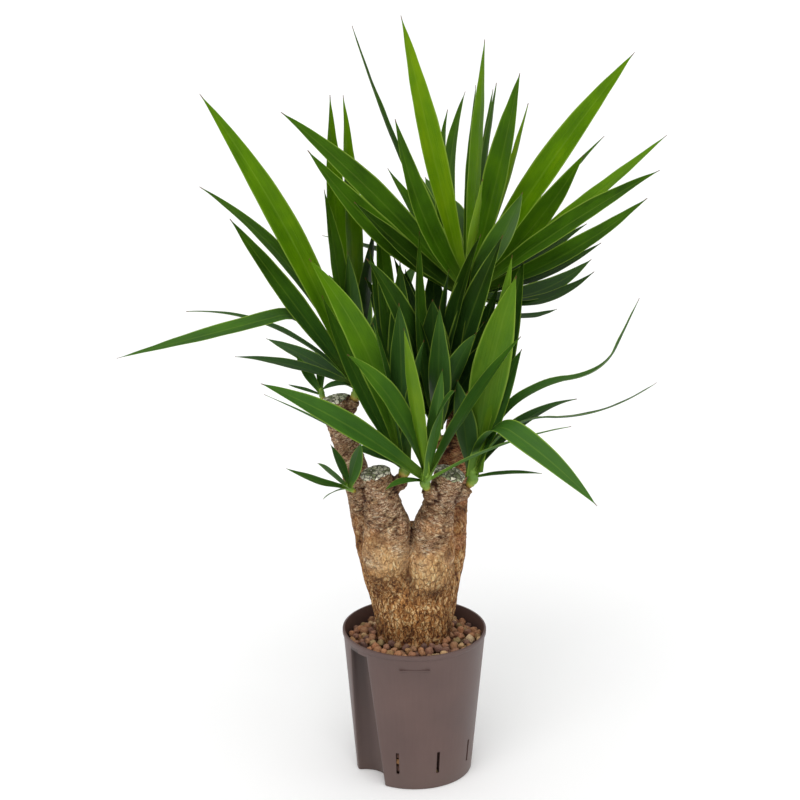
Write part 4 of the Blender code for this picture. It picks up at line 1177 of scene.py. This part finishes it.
def leafMaterial():
    # Live leaf with its own thin waxy skin: smooth and a little glossy, finely ribbed along
    # its veins, translucent enough to glow where light comes through
    material, tree, shader, output = startMaterial("waxyLeafSkin", {"IOR": 1.40, "Specular IOR Level": 0.2})
    place = addNode(tree, "Attribute", {"attribute_name": "bladePlace"}).outputs["Vector"]
    run, across, tone, under = (addNode(tree, "Attribute", {"attribute_name": name}).outputs["Fac"]
                                for name in ("along", "across", "tone", "under"))
    # bladePlace is in mm: veins 2 mm apart and 90 mm long, drawn coarser than the real
    # 0.8 mm so that a picture shows them, and clouds of 40 mm
    stretch = addNode(tree, "Mapping", {"Scale": (0.55, 0.012, 1.0)}, {"Vector": place})
    veins = addNode(tree, "TexNoise", {"Scale": 1.0, "Detail": 2, "Roughness": 0.55}, {"Vector": stretch})
    cloudPlace = addNode(tree, "Mapping", {"Scale": (0.05, 0.022, 1.0)}, {"Vector": place})
    clouds = addNode(tree, "TexNoise", {"Scale": 1.0, "Detail": 2}, {"Vector": cloudPlace})
    # tone brightens or darkens each blade: partly its age, partly painted light and shade
    veined = addNode(tree, "Math", {"operation": "MULTIPLY_ADD", 1: 0.20}, {0: veins, 2: tone})
    shade = addNode(tree, "Math", {"operation": "MULTIPLY_ADD", 1: 0.50}, {0: clouds, 2: veined})
    moved = addNode(tree, "Math", {"operation": "SUBTRACT", 1: 0.35}, {0: shade})
    body = addNode(tree, "ValToRGB", {"stops": ((0.0, "#1b3004"), (0.25, "#2e5006"), (0.5, "#477206"),
                                                (0.75, "#639000"), (1.0, "#84a804"))}, {"Fac": moved})
    # the leaves low on the plant are bluer, the bright ones less so
    rise = addNode(tree, "SeparateXYZ", links={0: addNode(tree, "TexCoord").outputs["Object"]}).outputs["Z"]
    low = addNode(tree, "MapRange", {"From Min": 0.52, "From Max": 0.66, "To Min": 0.38, "To Max": 0.0},
                  {"Value": rise})
    dull = addNode(tree, "MapRange", {"From Min": 0.5, "From Max": 0.9, "To Min": 1.0, "To Max": 0.1},
                   {"Value": tone})
    lowBlue = addNode(tree, "Math", {"operation": "MULTIPLY"}, {0: low, 1: dull})
    lowBlued = addNode(tree, "Mix", {"data_type": "RGBA", 7: hexColour("#42703c")},
                      {0: lowBlue, 6: body})
    edgeShare = addNode(tree, "Math", {"operation": "ABSOLUTE"}, {0: across})
    margin = addNode(tree, "MapRange", {"From Min": 0.87, "From Max": 0.96, "To Max": 0.7},
                     {"Value": edgeShare})
    rib = addNode(tree, "MapRange", {"From Min": 0.0, "From Max": 0.09, "To Min": 0.16, "To Max": 0.0},
                  {"Value": edgeShare})
    lines = addNode(tree, "Math", {"operation": "MAXIMUM"}, {0: margin, 1: rib})
    lined = addNode(tree, "Mix", {"data_type": "RGBA", 7: hexColour("#a2c24a")},
                    {0: lines, 6: lowBlued})
    foot = addNode(tree, "MapRange", {"From Min": 0.02, "From Max": 0.20, "To Min": 0.6, "To Max": 0.0},
                   {"Value": run})
    footed = addNode(tree, "Mix", {"data_type": "RGBA", 7: hexColour("#86ab34")},
                     {0: foot, 6: lined})
    below = addNode(tree, "Math", {"operation": "MULTIPLY", 1: 0.35}, {0: under})
    backed = addNode(tree, "Mix", {"data_type": "RGBA", 7: hexColour("#42682a")},
                     {0: below, 6: footed})
    end = addNode(tree, "MapRange", {"From Min": 0.978, "From Max": 0.99}, {"Value": run})
    colour = addNode(tree, "Mix", {"data_type": "RGBA", 7: hexColour("#6b4a2a")},
                     {0: end, 6: backed})
    wire(tree, shader, {"Base Color": colour})
    gloss = addNode(tree, "MapRange", {"From Min": 0.3, "From Max": 0.7, "To Min": 0.42, "To Max": 0.58},
                    {"Value": clouds})
    wire(tree, shader, {"Roughness": gloss})
    bump = addNode(tree, "Bump", {"Strength": 0.5, "Distance": 0.0014}, {"Height": veins})
    wire(tree, shader, {"Normal": bump})
    glowColour = addNode(tree, "Mix",
                         {"data_type": "RGBA", "blend_type": "MIX", 0: 0.45, 7: hexColour("#86b018")},
                         {6: colour})
    glow = addNode(tree, "BsdfTranslucent", links={"Color": glowColour})
    both = addNode(tree, "MixShader", {0: 0.22}, {1: shader, 2: glow})
    wire(tree, output, {"Surface": both})
    return material


def stemMaterial():
    # Young stem wrapped in old leaf bases: smooth, faintly waxy, green above and yellow
    # turning brown at the foot where the bases have died back
    material, tree, shader, _ = startMaterial("wrappedGreenStem", {"Roughness": 0.48, "IOR": 1.43})
    place = addNode(tree, "TexCoord").outputs["Object"]
    run = addNode(tree, "Attribute", {"attribute_name": "along"}).outputs["Fac"]
    # streaks 2 mm wide
    stretch = addNode(tree, "Mapping", {"Scale": (500, 500, 40)}, {"Vector": place})
    streaks = addNode(tree, "TexNoise", {"Scale": 1.0, "Detail": 3}, {"Vector": stretch})
    shifted = addNode(tree, "Math", {"operation": "MULTIPLY_ADD", 1: 0.22}, {0: streaks, 2: run})
    stops = ((0.10, "#6b4a22"), (0.20, "#a8923c"), (0.32, "#7f9a34"), (0.60, "#5d8426"), (1.0, "#86ab3c"))
    body = addNode(tree, "ValToRGB", {"stops": stops}, {"Fac": shifted})
    wire(tree, shader, {"Base Color": body})
    bump = addNode(tree, "Bump", {"Strength": 0.4, "Distance": 0.0008}, {"Height": streaks})
    wire(tree, shader, {"Normal": bump})
    return material


def stemShape(head):
    # the stem as overlapping sheaths, each a little wider at its lip; also shares along it
    s = leafSettings
    coarse = stemStations(head)
    stations, runs = [], []
    for i in range(s["stemRows"] + 1):
        share = i / s["stemRows"]
        place = share * (len(coarse) - 1)
        k = min(int(place), len(coarse) - 2)
        low, high = np.array(coarse[k]), np.array(coarse[k + 1])
        station = low + (high - low) * (place - k)
        sheath = share * s["sheaths"] % 1
        swell = 0.72 + 0.14 * sheath
        swell *= 1 - head.get("taper", 0) * (1 - share) ** 2
        stations.append((*station[:3], station[3] * swell))
        runs.append(share)
    verts, faces = tubeShape(stations, s["stemSides"])
    return verts, faces, [run for run in runs for _ in range(s["stemSides"])]


def makeFoliage(s):
    leafSkin, stemSkin = leafMaterial(), stemMaterial()
    seed = 0
    for name, leaves in grownHeads().items():
        verts, faces, runs = stemShape(heads[name])
        stemFaces = len(faces)
        places = [(0, 0, 0)] * len(verts)
        marks = [(run, 0, 0) for run in runs]
        tones = [0.5] * len(verts)
        for root, heart, leaf, lean in leaves:
            seed += 1
            bladeVerts, bladeFaces, bladePlaces, bladeMarks = fineBlade(root, heart, leaf, lean, seed)
            faces += [tuple(len(verts) + k for k in face) for face in bladeFaces]
            verts += bladeVerts
            places += bladePlaces
            marks += bladeMarks
            tones += [leaf["tone"]] * len(bladeVerts)
        piece = newPiece(name.replace("head_", "leafHead_"), verts, faces, [leafSkin, stemSkin])
        slots = np.zeros(len(faces), dtype=np.int32)
        slots[:stemFaces] = 1
        piece.data.polygons.foreach_set("material_index", slots)
        giveAttribute(piece, "bladePlace", places)
        for column, key in enumerate(("along", "across", "under")):
            giveAttribute(piece, key, [mark[column] for mark in marks])
        giveAttribute(piece, "tone", tones)
        piece.data.set_sharp_from_angle(angle=math.radians(s["sharpAngle"]))
        seat(piece, name)


makeTrunk(trunkSettings)
print("trunk ready")
makeWaxCaps(waxSettings)
print("wax ready")
makeFoliage(leafSettings)
print("foliage ready")
